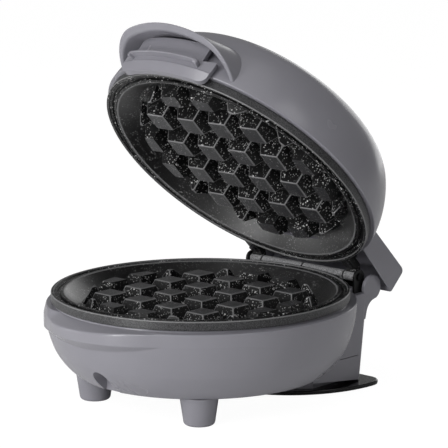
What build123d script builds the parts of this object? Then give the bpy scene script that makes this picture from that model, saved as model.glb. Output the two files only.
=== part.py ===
from build123d import *
import os
from math import cos, radians, sin, sqrt, tan

# Mini waffle maker: a round base and a round lid, each with a cast cooking plate,
# joined by a pin hinge behind the plates. Millimetres. While it is built, Z is the
# plates' axis, X runs along the hinge and Y points from the handle to the hinge.

# Stance and pose
LID_OPEN = 46.0            # degrees that the lid stands open at rest
GROUND_GAP = 12.0          # worktop to the housing's flat bottom
WALL = 2.2                 # wall of the moulded housings
FIT = 0.15                 # clearance of a screw in its hole, and of a cover in its seat

# Cooking plates (both castings are alike)
PLATE_R = 62.0             # outer radius of the rim
PLATE_BAND = 3.9           # height of the rim's outer band
RIM_TOP = 46.2             # top of the lower plate's rim
PLATES_GAP = 0.4           # between the two rims when the lid is shut
LIP_W = 1.2                # outer lip of the rim
STEP_W = 1.3               # small step inside that lip
STEP_D = 0.9               # depth of the step
CHANNEL_W = 1.3            # overflow channel inside the step
CHANNEL_D = 1.8            # depth of the channel
CREST_W = 1.6              # crest between the channel and the cavity
CREST_DROP = 0.2           # how far the crest stays under the rim's top
CAVITY_SLOPE = 7.1         # run of the cavity's sloped wall
CAVITY_D = 7.4             # depth of the cavity
PLATE_T = 3.0              # thickness of the casting
BODY_INSET = 2.7           # step from the rim in to the casting's body
GRID_PITCH = 17.6          # spacing of the blocks
BLOCK_BASE = 13.6          # side of a block at the floor
BLOCK_TIP = 9.2            # side of a block at its tip
BLOCK_H = 6.1              # height of a block
GRID_MARGIN = 0.5          # bare floor around the grid
GRID_DRAFT = 2.6           # how much the grid shrinks up to the tips
GRID_HALF = 3              # blocks each way from the centre

# Plate bosses, posts and long screws
BOSS_R = 3.6
BOSS_L = 7.4               # length of a plate boss under the casting
BOSS_PCR = 22.0            # radius of the circle of three bosses
SCREW_R = 1.5
SCREW_HEAD_R = 2.9
SCREW_HEAD_H = 2.2
SCREW_BITE = 6.0           # length of screw inside a boss
SCREW_SEAT = 4.0           # height of the long screws' seats above the cover's underside
POST_WALL = 1.6            # wall of a post around a screw's head

# Heating elements and reflectors
HEATER_R = 38.0            # radius of the element's ring
HEATER_WIRE_R = 3.2
HEATER_GAP_DEG = 40.0      # open part of the ring, where the terminals turn out
HEATER_BEAD_R = 3.8        # ceramic bead at each end of the ring
HEATER_LEG = 7.5           # length of the bead below the ring's middle
HEATER_REST = 0.1          # from the element to the casting
TERMINAL_R = 0.9
TERMINAL_L = 4.5
REFLECTOR_REACH = 3.5      # how far the reflector reaches past the plate's floor
REFLECTOR_T = 0.8
REFLECTOR_LEAN = 3.0
REFLECTOR_SKIRT = 5.0

# Hinge
HINGE_OUT = 2.5            # from the rim to the hinge's axis
HINGE_Z = 45.0
KNUCKLE_R = 2.1
KNUCKLE_SPLIT = 23.5       # from the middle to the joint of inner and outer knuckle
KNUCKLE_END = 30.0         # from the middle to the outer end
KNUCKLE_GAP = 0.4          # half of each gap between knuckles
LUG_INSET = 1.2            # a lug is this much shorter than its knuckle at each end
PIN_R = 1.0
PIN_CLEAR = 0.05
PIN_HEAD_R = 1.7
PIN_HEAD_T = 0.65
BRACKET_T = 1.0            # sheet of the bracket that carries the pin's ends
BRACKET_GAP = 0.3          # from an outer knuckle to the bracket's upright
BRACKET_R = 3.2            # round top of an upright
BRACKET_REAR = 3.6         # from the hinge's axis back to the bracket's rear web
BRACKET_FRONT = 1.0        # from the hinge's axis forward to the bracket's strip
BRACKET_DROP = 2.0         # how far the web's top stays under the hinge's axis
BRACKET_SCREW_X = 18.0
BRACKET_SCREW_L = 4.5
BRACKET_BOSS_R = 2.4
ARM_W = 5.6                # width of an arm of the upper plate
ARM_SCREW_X = 27.4
ARM_SCREW_IN = 5.5         # from the hinge's axis forward to the arm screws
ARM_SCREW_R = 1.1
ARM_SCREW_L = 5.0          # length of the arm screws past the lid's edge
ARM_HEAD_R = 1.7
ARM_HEAD_H = 0.8
ARM_POST_R = 3.0

# Lower housing
LIP_OUT = 2.8              # how far the bowl's top stands out past the plate's rim
LIP_Z = 41.5
WAIST_IN = 1.8             # each of these is measured inwards from the lip
WAIST_Z = 30.0
SHOULDER_IN = 4.5
SHOULDER_Z = 22.5
BELLY_IN = 8.4             # the bowl's curve passes here between foot and shoulder
BELLY_Z = 17.0
FOOT_IN = 13.3
SEAT_IN = 0.7              # from the plate's rim in to the raised seat's outer face
BODY_CLEAR = 0.7           # between the casting's body and the housings
RECESS_HALF = 36.0         # half width of the front recess, where it runs out in the lip
RECESS_IN_Z = 42.0         # its slope falls from this height beside the plate's seat
RECESS_OUT_Z = 39.3        # to this one at the ledge's front
RECESS_DIP_Z = 38.6        # lowest point of the arc that its ends run out in
LEDGE_PROUD = 3.2          # the crescent ledge's reach past the bowl
LEDGE_HALF = 40.0          # half width of the crescent, whose horns run inside the bowl
LEDGE_END_IN = 3.3         # how far inside the lip they end
LEDGE_T = 4.1              # height of the ledge's front face
LEDGE_FADE = 6.5           # height over which it fades into the bowl
SCOOP_R = 4.4              # small arched notch at the bowl's front foot
SCOOP_TOP_Z = 21.4
SCOOP_IN = 0.9             # from the foot's edge in to the notch's end wall
SCOOP_WALL = 1.3
COVER_T = 2.0
COVER_LEDGE = 1.6          # width of the inner ledge that the bottom cover seats on
COVER_LEDGE_T = 1.6

# Rear block of the base, its ears and the cord wrap
REAR_TAPER = 2.0           # the block is this much wider to each side at its foot
REAR_OUT = 3.7             # from the hinge's axis back to the block's top rear edge
REAR_LEAN = 7.4            # how far its foot stands in from that edge
REAR_TOP = 38.4
REAR_CORNER = 3.0
REAR_FRONT = 30.0
SKIRT_REAR_Z = 2.1         # the block's lower edge at the rear
SKIRT_SLOPE = 7.0          # degrees that this edge climbs towards the front
EAR_T = 1.8
EAR_CLEAR = 0.2            # from a head of the hinge pin to the ear beside it
EAR_R = 5.5
EAR_OUT = 5.7              # the ear's middle, behind and below the hinge's axis
EAR_DROP = 5.0
EAR_FOOT = 7.8             # how far under the deck the ear runs out in the rear wall
PAD_HALF_IN = 24.5         # low pads on the deck, between the plate and the bracket
PAD_HALF_OUT = 30.2
PAD_FRONT = 6.7            # from the hinge's axis forward to a pad's front
PAD_H = 2.5
FLANGE_T = 1.8
FLANGE_HALF = 41.0
FLANGE_REACH = 46.0        # its reach forward from where it is widest
FLANGE_TAIL = 7.0          # its straight part behind that
FLANGE_CORNER = 6.5
CORE_HALF = 30.5
CORE_LONG = 35.0
CORE_IN = 4.0              # from the block's foot in to the core's rear
CORE_T = 2.2
CORE_ROUND = 14.0          # depth of the core's round front
CORE_BOSS_R = 4.0
COVER_BOSS_R = 3.4
COVER_BOSS_H = 4.0
BUSH_R = 4.0
BUSH_BORE_R = 2.9
BUSH_FLANGE_R = 5.4
BUSH_FLANGE_T = 1.6
BUSH_L = 8.0
BUSH_Z = 7.6
BUSH_CLEAR = 0.4

# Front feet
FEET_DEG = 47.2            # angle of each foot from the X axis
FEET_IN = 7.34             # from the bowl's flat bottom's edge in to a foot's middle
FEET_R_LOW = 6.25
FEET_R_TOP = 8.0
FEET_ROUND = 1.4
FOOT_SCREW_L = 6.0

# Electric pieces in the base
THERMOSTAT_R = 7.5
THERMOSTAT_H = 5.4
THERMOSTAT_Y = -6.0
THERMOSTAT_CAP_R = 5.5
THERMOSTAT_CAP_H = 1.5
FUSE_R = 2.2
FUSE_L = 18.0
FUSE_Y = 11.0
FUSE_WIRE_R = 0.5
FUSE_WIRE_L = 5.0
BLOCK_L = 22.0
BLOCK_W = 10.0
BLOCK_T = 9.0
BLOCK_IN = 24.8            # from the block's foot in to the terminal block's front
BLOCK_WELL_R = 2.2
BLOCK_WELL_PITCH = 7.0
BLOCK_WELL_D = 4.0
CLAMP_L = 18.0
CLAMP_W = 5.0
CLAMP_H = 5.0
CLAMP_IN = 8.3             # from the block's foot in to the clamp's middle

# Lid housing
LID_OUT = 1.7              # how far the lid's edge stands out past the plate's rim
LID_Z = 50.7
LID_SIDE_IN = 2.2          # each of these is measured inwards from the lid's edge
LID_SIDE_Z = 63.5
LID_SHOULDER_IN = 6.6
LID_SHOULDER_Z = 72.9
LID_TURN_IN = 13.1
LID_TURN_Z = 79.0
LID_CREASE_IN = 21.8
LID_CREASE_Z = 81.7
LID_TOP_Z = 85.0

# Hinge cover, one moulding with the lid housing
COVER_PAST = 2.6           # how far the cover's sides stand out past the ears
COVER_OUT = 16.5           # from the hinge's axis back to the cover's rear
COVER_LOW = 49.9           # its lower edge at the rear
COVER_FALL = 3.5           # degrees that this edge climbs towards the front
COVER_TOP = 62.3
COVER_WALL = 2.0
COVER_ROUND = 2.4

# Handle
HOOD_HALF = 31.4
HOOD_OUT = 13.3            # reach of the hood's front edge past the lid's edge
HOOD_TIP_Z = 62.0          # height of that edge at its middle
HOOD_BEND_X = 20.0
HOOD_BEND_Z = 58.8
HOOD_SIDE_X = 28.3
HOOD_SIDE_Z = 52.9
HOOD_RISE = 24.9           # degrees that the hood climbs towards the lid
HOOD_WALL = 3.3
HOOD_ROOT_IN = 8.7         # where the hood's rim meets the lid, in from the lid's edge
HOOD_LEG_RISE = 1.3        # and above it
APRON_OUT = 2.9            # how far the apron's upright panel stands out past the lid's edge
APRON_T = 2.3
APRON_LOW_OUT = 1.3
APRON_LOW_Z = 46.2
APRON_TOP_Z = 62.5
SKIRT_HALF = 24.0          # half width of the apron's skirt
SKIRT_CORNER = 3.6
PANEL_HALF = 19.0          # half width of the panel above it
PANEL_CORNER = 3.0
RIDGE_OUT = 3.0            # how far the ridge stands out from the panel
RIDGE_Z = 52.4
RIDGE_T = 1.1
RIDGE_HALF_DEG = 16.2
RIDGE_DROP = 2.0           # how far its two ends turn down
HANDLE_SCREW_Z = 57.0
HANDLE_SCREW_DEG = 12.0    # angle of each handle screw from the middle
HANDLE_SKIN = 0.6          # left of the panel in front of those screws

# Worked out from the sizes above
PARTING = RIM_TOP + PLATES_GAP / 2
LIP_IN_R = PLATE_R - LIP_W
STEP_R = LIP_IN_R - STEP_W
CHANNEL_R = STEP_R - CHANNEL_W
CAVITY_R = CHANNEL_R - CREST_W
FLOOR_R = CAVITY_R - CAVITY_SLOPE
GRID_R = FLOOR_R - GRID_MARGIN
BODY_R = PLATE_R - BODY_INSET
BODY_CLEAR_R = BODY_R + BODY_CLEAR
FLOOR_Z = RIM_TOP - CAVITY_D
UNDER_Z = FLOOR_Z - PLATE_T
BAND_LOW = RIM_TOP - PLATE_BAND
BOSS_END = UNDER_Z - BOSS_L
SHELF_Z = GROUND_GAP + COVER_T
REFLECTOR_R = FLOOR_R + REFLECTOR_REACH
HINGE_Y = PLATE_R + HINGE_OUT
ARM_LOW = PARTING + PLATES_GAP / 2 + 0.2
ARM_SCREW_Y = HINGE_Y - ARM_SCREW_IN
LIP_R = PLATE_R + LIP_OUT
FOOT_R = LIP_R - FOOT_IN
SEAT_R = PLATE_R - SEAT_IN
LEDGE_OUT = LIP_R + LEDGE_PROUD
REAR_Y_TOP = HINGE_Y + REAR_OUT
REAR_Y_LOW = REAR_Y_TOP - REAR_LEAN
BRACKET_X = KNUCKLE_END + BRACKET_GAP
BRACKET_BACK = HINGE_Y + BRACKET_REAR
STRIP_FRONT = HINGE_Y - BRACKET_FRONT
BRACKET_SCREW_Y = (STRIP_FRONT + BRACKET_BACK - BRACKET_T) / 2
REAR_HALF_TOP = BRACKET_X + BRACKET_T + PIN_CLEAR + PIN_HEAD_T + EAR_CLEAR + EAR_T
REAR_HALF_LOW = REAR_HALF_TOP + REAR_TAPER
COVER_HALF = REAR_HALF_TOP + COVER_PAST
EAR_Y = HINGE_Y + EAR_OUT
EAR_Z = HINGE_Z - EAR_DROP
BLOCK_FRONT = REAR_Y_LOW - BLOCK_IN
CORE_REAR = REAR_Y_LOW - CORE_IN
CORE_FRONT = CORE_REAR - CORE_LONG
FLANGE_Y = REAR_Y_LOW
FLANGE_SCREWS = [(-25.0, CORE_REAR - 7.0), (25.0, CORE_REAR - 7.0), (0.0, CORE_FRONT + 5.0)]
FEET_X = (FOOT_R - FEET_IN) * cos(radians(FEET_DEG))
FEET_Y = -(FOOT_R - FEET_IN) * sin(radians(FEET_DEG))
LID_R = PLATE_R + LID_OUT
COVER_REAR = HINGE_Y + COVER_OUT
HOOD_TIP = LID_R + HOOD_OUT
HOOD_ROOT = LID_R - HOOD_ROOT_IN
HOOD_LEG_Z = LID_Z + HOOD_LEG_RISE
HOOD_FOOT_Z = HOOD_LEG_Z - (HOOD_TIP - HOOD_ROOT) * tan(radians(HOOD_RISE))
HOOD_FALL = (HOOD_TIP_Z - HOOD_LEG_Z) / (HOOD_TIP - HOOD_ROOT)
APRON_R = LID_R + APRON_OUT
APRON_LOW_R = LID_R + APRON_LOW_OUT
RIDGE_R = APRON_R + RIDGE_OUT
SPAN = 4 * PLATE_R         # longer than the whole part, for cutting through it


def turned(*edges):
    """Solid of revolution about Z from edges drawn with x as radius and y as height."""
    face = make_face([Plane.XZ * edge for edge in edges])
    return revolve(face, Axis.Z, 360)


def turned_polygon(*points):
    return turned(*Polyline(*points, close=True).edges())


def disc(radius, low, high, x=0, y=0):
    return Pos(x, y, (low + high) / 2) * Cylinder(radius, high - low)


def box(x0, x1, y0, y1, z0, z1):
    centre = Pos((x0 + x1) / 2, (y0 + y1) / 2, (z0 + z1) / 2)
    return centre * Box(x1 - x0, y1 - y0, z1 - z0)


def rod(radius, x0, x1, y=HINGE_Y, z=HINGE_Z):
    """Cylinder along X, by default on the hinge's axis."""
    return Pos((x0 + x1) / 2, y, z) * Rot(0, 90, 0) * Cylinder(radius, x1 - x0)


def side_slab(outline, x0, x1):
    """A face drawn in the YZ plane, made a slab between two values of X."""
    return extrude(Plane.YZ.offset(x0) * outline, x1 - x0)


def around(count, radius, start=90):
    """Centres of count points, evenly spread on a circle."""
    step = 360 / count
    angles = [radians(start + step * i) for i in range(count)]
    return [(radius * cos(a), radius * sin(a)) for a in angles]


BOSSES = around(3, BOSS_PCR, start=-90)


def lid_flip(shape):
    """Mirrors a lower piece in the parting plane, to make its upper twin."""
    return mirror(shape, Plane.XY.offset(PARTING))


# Cooking plates

def waffle_blocks():
    """Grid of tapered square blocks, trimmed to the round floor."""
    tips = FLOOR_Z + BLOCK_H
    blocks = []
    for i in range(-GRID_HALF, GRID_HALF):
        for j in range(-GRID_HALF, GRID_HALF):
            x = GRID_PITCH * (i + 0.5)
            y = GRID_PITCH * (j + 0.5)
            if sqrt(x * x + y * y) > GRID_R + BLOCK_BASE / 4:
                continue
            base = Plane.XY.offset(FLOOR_Z - 0.5) * Pos(x, y) * Rectangle(BLOCK_BASE, BLOCK_BASE)
            tip = Plane.XY.offset(tips) * Pos(x, y) * Rectangle(BLOCK_TIP, BLOCK_TIP)
            blocks.append(loft([base, tip]))
    trim = turned_polygon(
        (0, FLOOR_Z - 1), (GRID_R, FLOOR_Z - 1), (GRID_R, FLOOR_Z),
        (GRID_R - GRID_DRAFT, tips + 0.01), (0, tips + 0.01))
    return [block & trim for block in blocks]


def plate_body():
    """The casting: rim with its overflow channel, sloped cavity wall, floor and bosses."""
    channel_z = RIM_TOP - CHANNEL_D
    crest_z = RIM_TOP - CREST_DROP
    body = turned_polygon(
        (0, FLOOR_Z), (FLOOR_R, FLOOR_Z), (CAVITY_R, crest_z), (CHANNEL_R, crest_z),
        (CHANNEL_R, channel_z), (STEP_R, channel_z), (STEP_R, RIM_TOP - STEP_D),
        (LIP_IN_R, RIM_TOP - STEP_D), (LIP_IN_R, RIM_TOP), (PLATE_R, RIM_TOP),
        (PLATE_R, BAND_LOW), (BODY_R, BAND_LOW), (BODY_R, BAND_LOW - 1.6),
        (FLOOR_R + 2.0, UNDER_Z), (0, UNDER_Z))
    for x, y in BOSSES:
        body += disc(BOSS_R, BOSS_END, UNDER_Z + 0.5, x, y)
    for block in waffle_blocks():
        body += block
    for x, y in BOSSES:
        body -= disc(SCREW_R + FIT, BOSS_END - 1, BOSS_END + SCREW_BITE + 0.6, x, y)
    return body


def knuckle(x0, x1):
    return rod(KNUCKLE_R, x0, x1) - rod(PIN_R + PIN_CLEAR, x0 - 1, x1 + 1)


def lower_plate():
    """Lower casting with its two long inner knuckles on short lugs."""
    plate = plate_body()
    for side in (-1, 1):
        x0, x1 = sorted((side * KNUCKLE_GAP, side * (KNUCKLE_SPLIT - KNUCKLE_GAP)))
        lug = box(x0 + LUG_INSET, x1 - LUG_INSET, CAVITY_R, HINGE_Y, BAND_LOW + 0.3, HINGE_Z - 0.2)
        lug -= disc(LIP_IN_R - 0.2, 0, SPAN)
        plate += lug + rod(KNUCKLE_R, x0, x1)
        plate -= rod(PIN_R + PIN_CLEAR, x0 - 0.2, x1 + 0.2)
    return plate


def arm_outline():
    """Side view of an upper arm: from the plate's rim, past the screw, to the knuckle."""
    high = LID_Z - 0.3
    front = FLOOR_R
    past_screw = ARM_SCREW_Y + ARM_POST_R
    return make_face(Polyline(
        (front, ARM_LOW), (past_screw, ARM_LOW), (HINGE_Y - 1.2, HINGE_Z - 1.0),
        (HINGE_Y + KNUCKLE_R, HINGE_Z), (HINGE_Y + 1.2, HINGE_Z + KNUCKLE_R + 0.5),
        (past_screw + 0.2, high), (front, high), close=True))


def upper_plate():
    """Upper casting with an arm and a short outer knuckle at each side."""
    plate = lid_flip(plate_body())
    for side in (-1, 1):
        x0, x1 = sorted((side * (KNUCKLE_SPLIT + KNUCKLE_GAP), side * KNUCKLE_END))
        a0, a1 = sorted((side * (KNUCKLE_END - ARM_W), side * (KNUCKLE_END - 0.2)))
        arm = side_slab(arm_outline(), a0, a1)
        arm -= disc(LIP_IN_R - 0.2, 0, SPAN)
        plate += arm + rod(KNUCKLE_R, x0, x1)
        plate -= rod(PIN_R + PIN_CLEAR, x0 - 1, x1 + 1)
        plate -= disc(ARM_SCREW_R + FIT, 0, LID_Z + 1, side * ARM_SCREW_X, ARM_SCREW_Y)
    return plate


def hinge_pin():
    reach = BRACKET_X + BRACKET_T + PIN_CLEAR
    pin = rod(PIN_R, -reach, reach)
    for side in (-1, 1):
        x0, x1 = sorted((side * reach, side * (reach + PIN_HEAD_T)))
        pin += rod(PIN_HEAD_R, x0, x1)
    return pin


def hinge_bracket():
    """Bent sheet on the deck: a strip, a rear web and two round-topped uprights for the pin."""
    half = BRACKET_X + BRACKET_T
    strip_top = REAR_TOP + BRACKET_T
    bracket = box(-half, half, STRIP_FRONT, BRACKET_BACK, REAR_TOP, strip_top)
    web_front = BRACKET_BACK - BRACKET_T
    bracket += box(-half, half, web_front, BRACKET_BACK, REAR_TOP, HINGE_Z - BRACKET_DROP)
    for side in (-1, 1):
        x0, x1 = sorted((side * BRACKET_X, side * half))
        bracket += rod(BRACKET_R, x0, x1)
        bracket += box(x0, x1, HINGE_Y - BRACKET_R, HINGE_Y + BRACKET_R, REAR_TOP, HINGE_Z)
        bracket -= disc(ARM_SCREW_R + FIT, 0, strip_top + 0.1, side * BRACKET_SCREW_X, BRACKET_SCREW_Y)
    return bracket - rod(PIN_R + PIN_CLEAR, -half - 1, half + 1)


def bracket_screws():
    seat = REAR_TOP + BRACKET_T
    tip = REAR_TOP - BRACKET_SCREW_L
    return [screw(side * BRACKET_SCREW_X, BRACKET_SCREW_Y, seat, tip, down=False, shank=ARM_SCREW_R,
                  head=ARM_HEAD_R, height=ARM_HEAD_H) for side in (-1, 1)]


# Heating elements, reflectors and screws (drawn for the base)

def heater():
    """Tubular element: an open ring with two ends that turn down to their terminals."""
    z = UNDER_Z - HEATER_WIRE_R - HEATER_REST
    half_gap = radians(HEATER_GAP_DEG / 2)
    start = (HEATER_R * sin(half_gap), HEATER_R * cos(half_gap))
    ring = Plane.XY.offset(z) * ThreePointArc(start, (0, -HEATER_R), (-start[0], start[1]))
    section = Plane(origin=ring @ 0, z_dir=ring % 0) * Circle(HEATER_WIRE_R)
    element = sweep(section, path=ring)
    for side in (-1, 1):
        x, y = side * start[0], start[1]
        element += disc(HEATER_BEAD_R, z - HEATER_LEG, z + HEATER_WIRE_R + HEATER_REST / 2, x, y)
        element += disc(TERMINAL_R, z - HEATER_LEG - TERMINAL_L, z - HEATER_LEG, x, y)
    return element


def reflector():
    """Shallow sheet dish that sends the heat back up, seated on the plate's bosses."""
    top = BOSS_END
    turn = REFLECTOR_R - REFLECTOR_LEAN
    dish = turned_polygon(
        (0, top), (turn, top), (REFLECTOR_R, top + REFLECTOR_SKIRT),
        (REFLECTOR_R - REFLECTOR_T, top + REFLECTOR_SKIRT),
        (turn - REFLECTOR_T, top + REFLECTOR_T), (0, top + REFLECTOR_T))
    dish = Pos(0, 0, -REFLECTOR_T) * dish
    for x, y in BOSSES:
        dish -= disc(SCREW_R + FIT, 0, SPAN, x, y)
    half_gap = radians(HEATER_GAP_DEG / 2)
    for side in (-1, 1):
        x, y = side * HEATER_R * sin(half_gap), HEATER_R * cos(half_gap)
        dish -= disc(HEATER_BEAD_R + BODY_CLEAR, 0, SPAN, x, y)
    return dish


def screw(x, y, seat, tip, down=True, shank=SCREW_R, head=SCREW_HEAD_R, height=SCREW_HEAD_H):
    """Screw along Z: its head lies against seat and its shank ends at tip."""
    low, high = sorted((seat, tip))
    head_low, head_high = (seat - height, seat) if down else (seat, seat + height)
    return disc(shank, low, high, x, y) + disc(head, head_low, head_high, x, y)


def lower_plate_screws():
    seat = GROUND_GAP + SCREW_SEAT
    return [screw(x, y, seat, BOSS_END + SCREW_BITE) for x, y in BOSSES]


def upper_reflector_screws():
    seat = BOSS_END - REFLECTOR_T
    return [lid_flip(screw(x, y, seat, BOSS_END + SCREW_BITE)) for x, y in BOSSES]


def arm_screws():
    """The two round-headed screws in the upper plate's arms."""
    tip = LID_Z + ARM_SCREW_L
    return [screw(side * ARM_SCREW_X, ARM_SCREW_Y, ARM_LOW, tip, shank=ARM_SCREW_R, head=ARM_HEAD_R,
                  height=ARM_HEAD_H) for side in (-1, 1)]


# Lower housing

def bowl(inset=0.0):
    """The bowl as a full turned solid, up to its lip."""
    reach = LIP_R - inset
    foot = (reach - FOOT_IN, GROUND_GAP)
    shoulder = (reach - SHOULDER_IN, SHOULDER_Z)
    lip = (reach, LIP_Z)
    return turned(
        Line((0, GROUND_GAP), foot),
        ThreePointArc(foot, (reach - BELLY_IN, BELLY_Z), shoulder),
        ThreePointArc(shoulder, (reach - WAIST_IN, WAIST_Z), lip),
        Line(lip, (0, LIP_Z)),
        Line((0, LIP_Z), (0, GROUND_GAP)))


def rear_block(inset=0.0, low=0.0, high=REAR_TOP):
    """Block behind the bowl that carries the ears: it tapers upwards and leans back."""
    def section(z):
        t = z / REAR_TOP
        half = REAR_HALF_LOW + (REAR_HALF_TOP - REAR_HALF_LOW) * t - inset
        rear = REAR_Y_LOW + (REAR_Y_TOP - REAR_Y_LOW) * t - inset
        front = REAR_FRONT - 2 * inset
        corner = max(REAR_CORNER - inset, 0.6)
        outline = RectangleRounded(2 * half, rear - front, corner)
        return Plane.XY.offset(z) * Pos(0, (rear + front) / 2) * outline
    return loft([section(low), section(high)])


def rear_wall_y(z):
    """Where the block's leaning rear wall stands at a height."""
    return REAR_Y_LOW + REAR_LEAN * z / REAR_TOP


def skirt_trim():
    """Everything under the block's sloping lower edge."""
    run = 2 * PLATE_R
    drop = run * tan(radians(SKIRT_SLOPE))
    low = -GROUND_GAP
    outline = make_face(Polyline(
        (REAR_Y_LOW + run / 4, SKIRT_REAR_Z - drop / 4), (REAR_Y_LOW - run, SKIRT_REAR_Z + drop),
        (REAR_Y_LOW - run, low), (REAR_Y_LOW + run / 4, low), close=True))
    return side_slab(outline, -PLATE_R, PLATE_R) - disc(LIP_R, GROUND_GAP, SPAN)


def front_ledge():
    """Crescent ledge at the front, its underside fading back into the bowl."""
    end_y = -sqrt((LIP_R - LEDGE_END_IN)**2 - LEDGE_HALF**2)
    left = (-LEDGE_HALF, end_y)
    right = (LEDGE_HALF, end_y)
    inner = (0, end_y / 2)
    plan = make_face([ThreePointArc(left, (0, -LEDGE_OUT), right), Line(right, inner), Line(inner, left)])
    face_low = RECESS_OUT_Z - LEDGE_T
    low = face_low - LEDGE_FADE
    slab = extrude(Plane.XY.offset(low) * plan, LIP_Z - low)
    fade = turned_polygon(
        (0, low), (LIP_R - SHOULDER_IN + 0.8, low), (LEDGE_OUT, face_low), (LEDGE_OUT, LIP_Z), (0, LIP_Z))
    return slab & fade


def front_recess():
    """What is taken off the front: a slope down to the ledge, run out at both ends in a wide arc."""
    past = LEDGE_OUT + LEDGE_PROUD
    past_z = RECESS_OUT_Z - LEDGE_PROUD * (RECESS_IN_Z - RECESS_OUT_Z) / (LEDGE_OUT - SEAT_R)
    slope = turned_polygon((SEAT_R, RECESS_IN_Z), (past, past_z), (past, SPAN), (SEAT_R, SPAN))
    left, right = (-RECESS_HALF, LIP_Z), (RECESS_HALF, LIP_Z)
    top_left, top_right = (-RECESS_HALF, SPAN), (RECESS_HALF, SPAN)
    front_view = make_face([
        ThreePointArc(left, (0, RECESS_DIP_Z), right), Line(right, top_right),
        Line(top_right, top_left), Line(top_left, left)])
    return slope & extrude(Plane.XZ * front_view, SPAN)


def scoop(grow, rear):
    """Arch open at the bottom, from outside the bowl back to rear."""
    half = SCOOP_R + grow
    crown = SCOOP_TOP_Z - SCOOP_R
    length = SPAN / 2
    arch = Pos(0, rear - length / 2, crown) * Rot(90, 0, 0) * Cylinder(half, length)
    return arch + box(-half, half, rear - length, rear, 0, crown)


def ear_outline():
    """Side view of an ear: a round lobe that leans back over the rear wall."""
    lobe = Pos(EAR_Y, EAR_Z) * Circle(EAR_R)
    front = EAR_Y - EAR_R
    foot_z = REAR_TOP - EAR_FOOT
    foot = (rear_wall_y(foot_z), foot_z)
    lean = radians(-64)
    neck = (EAR_Y + EAR_R * cos(lean), EAR_Z + EAR_R * sin(lean))
    hollow = (foot[0] * 0.66 + neck[0] * 0.34, foot[1] * 0.3 + neck[1] * 0.7)
    middle = (EAR_Y, EAR_Z)
    low_front = (front, foot_z)
    top_front = (front, EAR_Z)
    web = make_face([
        Line(low_front, foot), ThreePointArc(foot, hollow, neck), Line(neck, middle),
        Line(middle, top_front), Line(top_front, low_front)])
    return lobe + web


def lower_housing():
    """Moulded shell: bowl, front ledge, rear block and ears in one piece."""
    block = rear_block() - skirt_trim()
    shell = bowl() + block + front_ledge()
    half = BRACKET_X + BRACKET_T + FIT
    shell -= box(-half, half, STRIP_FRONT - FIT, SPAN, REAR_TOP, SPAN)
    for side in (-1, 1):
        x0, x1 = sorted((side * REAR_HALF_TOP, side * (REAR_HALF_TOP - EAR_T)))
        shell += side_slab(ear_outline(), x0, x1)
        x0, x1 = sorted((side * PAD_HALF_IN, side * PAD_HALF_OUT))
        shell += box(x0, x1, HINGE_Y - PAD_FRONT, STRIP_FRONT - FIT, REAR_TOP - WALL / 2, REAR_TOP + PAD_H)
    shell += turned_polygon((BODY_CLEAR_R, LIP_Z - WALL), (SEAT_R, LIP_Z - WALL), (SEAT_R, BAND_LOW),
                            (BODY_CLEAR_R, BAND_LOW))
    hollow = bowl(WALL) & disc(SPAN, SHELF_Z + COVER_LEDGE_T, LIP_Z - WALL)
    hollow += disc(FOOT_R - WALL - COVER_LEDGE, 0, SHELF_Z + COVER_LEDGE_T + 1)
    hollow += disc(FOOT_R - WALL, 0, SHELF_Z)
    hollow += disc(BODY_CLEAR_R, LIP_Z - WALL - 1, SPAN)
    shell -= hollow
    shell -= rear_block(WALL, -GROUND_GAP, REAR_TOP - WALL)
    shell -= front_recess()
    notch_y = SCOOP_IN - FOOT_R
    shell += scoop(SCOOP_WALL, notch_y + SCOOP_WALL) & bowl()
    shell -= scoop(0, notch_y)
    for side in (-1, 1):
        x = side * BRACKET_SCREW_X
        shell += disc(BRACKET_BOSS_R, REAR_TOP - BRACKET_SCREW_L - 1, REAR_TOP - WALL / 2, x, BRACKET_SCREW_Y)
        shell -= disc(ARM_SCREW_R + FIT, REAR_TOP - BRACKET_SCREW_L - 0.4, SPAN, x, BRACKET_SCREW_Y)
    return shell - Pos(0, REAR_Y_LOW, BUSH_Z) * Rot(90, 0, 0) * Cylinder(BUSH_R + FIT, 5 * REAR_CORNER)


# Pieces under the base

def core_outline(inset=0.0):
    """D-shaped plan of the cord-wrap core, round at the front."""
    half = CORE_HALF - inset
    shoulder = CORE_FRONT + CORE_ROUND
    front = CORE_FRONT + inset
    rear = CORE_REAR - inset
    return make_face([
        ThreePointArc((-half, shoulder), (0, front), (half, shoulder)),
        Line((half, shoulder), (half, rear)), Line((half, rear), (-half, rear)),
        Line((-half, rear), (-half, shoulder))])


def cord_wrap_core():
    wall = core_outline() - core_outline(CORE_T)
    core = extrude(Plane.XY.offset(FLANGE_T) * wall, GROUND_GAP - FLANGE_T)
    for x, y in FLANGE_SCREWS:
        core += disc(CORE_BOSS_R, FLANGE_T, GROUND_GAP, x, y)
        core -= disc(SCREW_R + FIT, 0, SPAN, x, y)
    half = BUSH_FLANGE_R + BUSH_CLEAR
    depth = 3 * CORE_T
    middle = BUSH_Z - CORE_T
    inlet = Pos(0, CORE_REAR, middle) * Rot(90, 0, 0) * Cylinder(half, 2 * depth)
    return core - inlet - box(-half, half, CORE_REAR - depth, CORE_REAR + depth, middle, SPAN)


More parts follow.
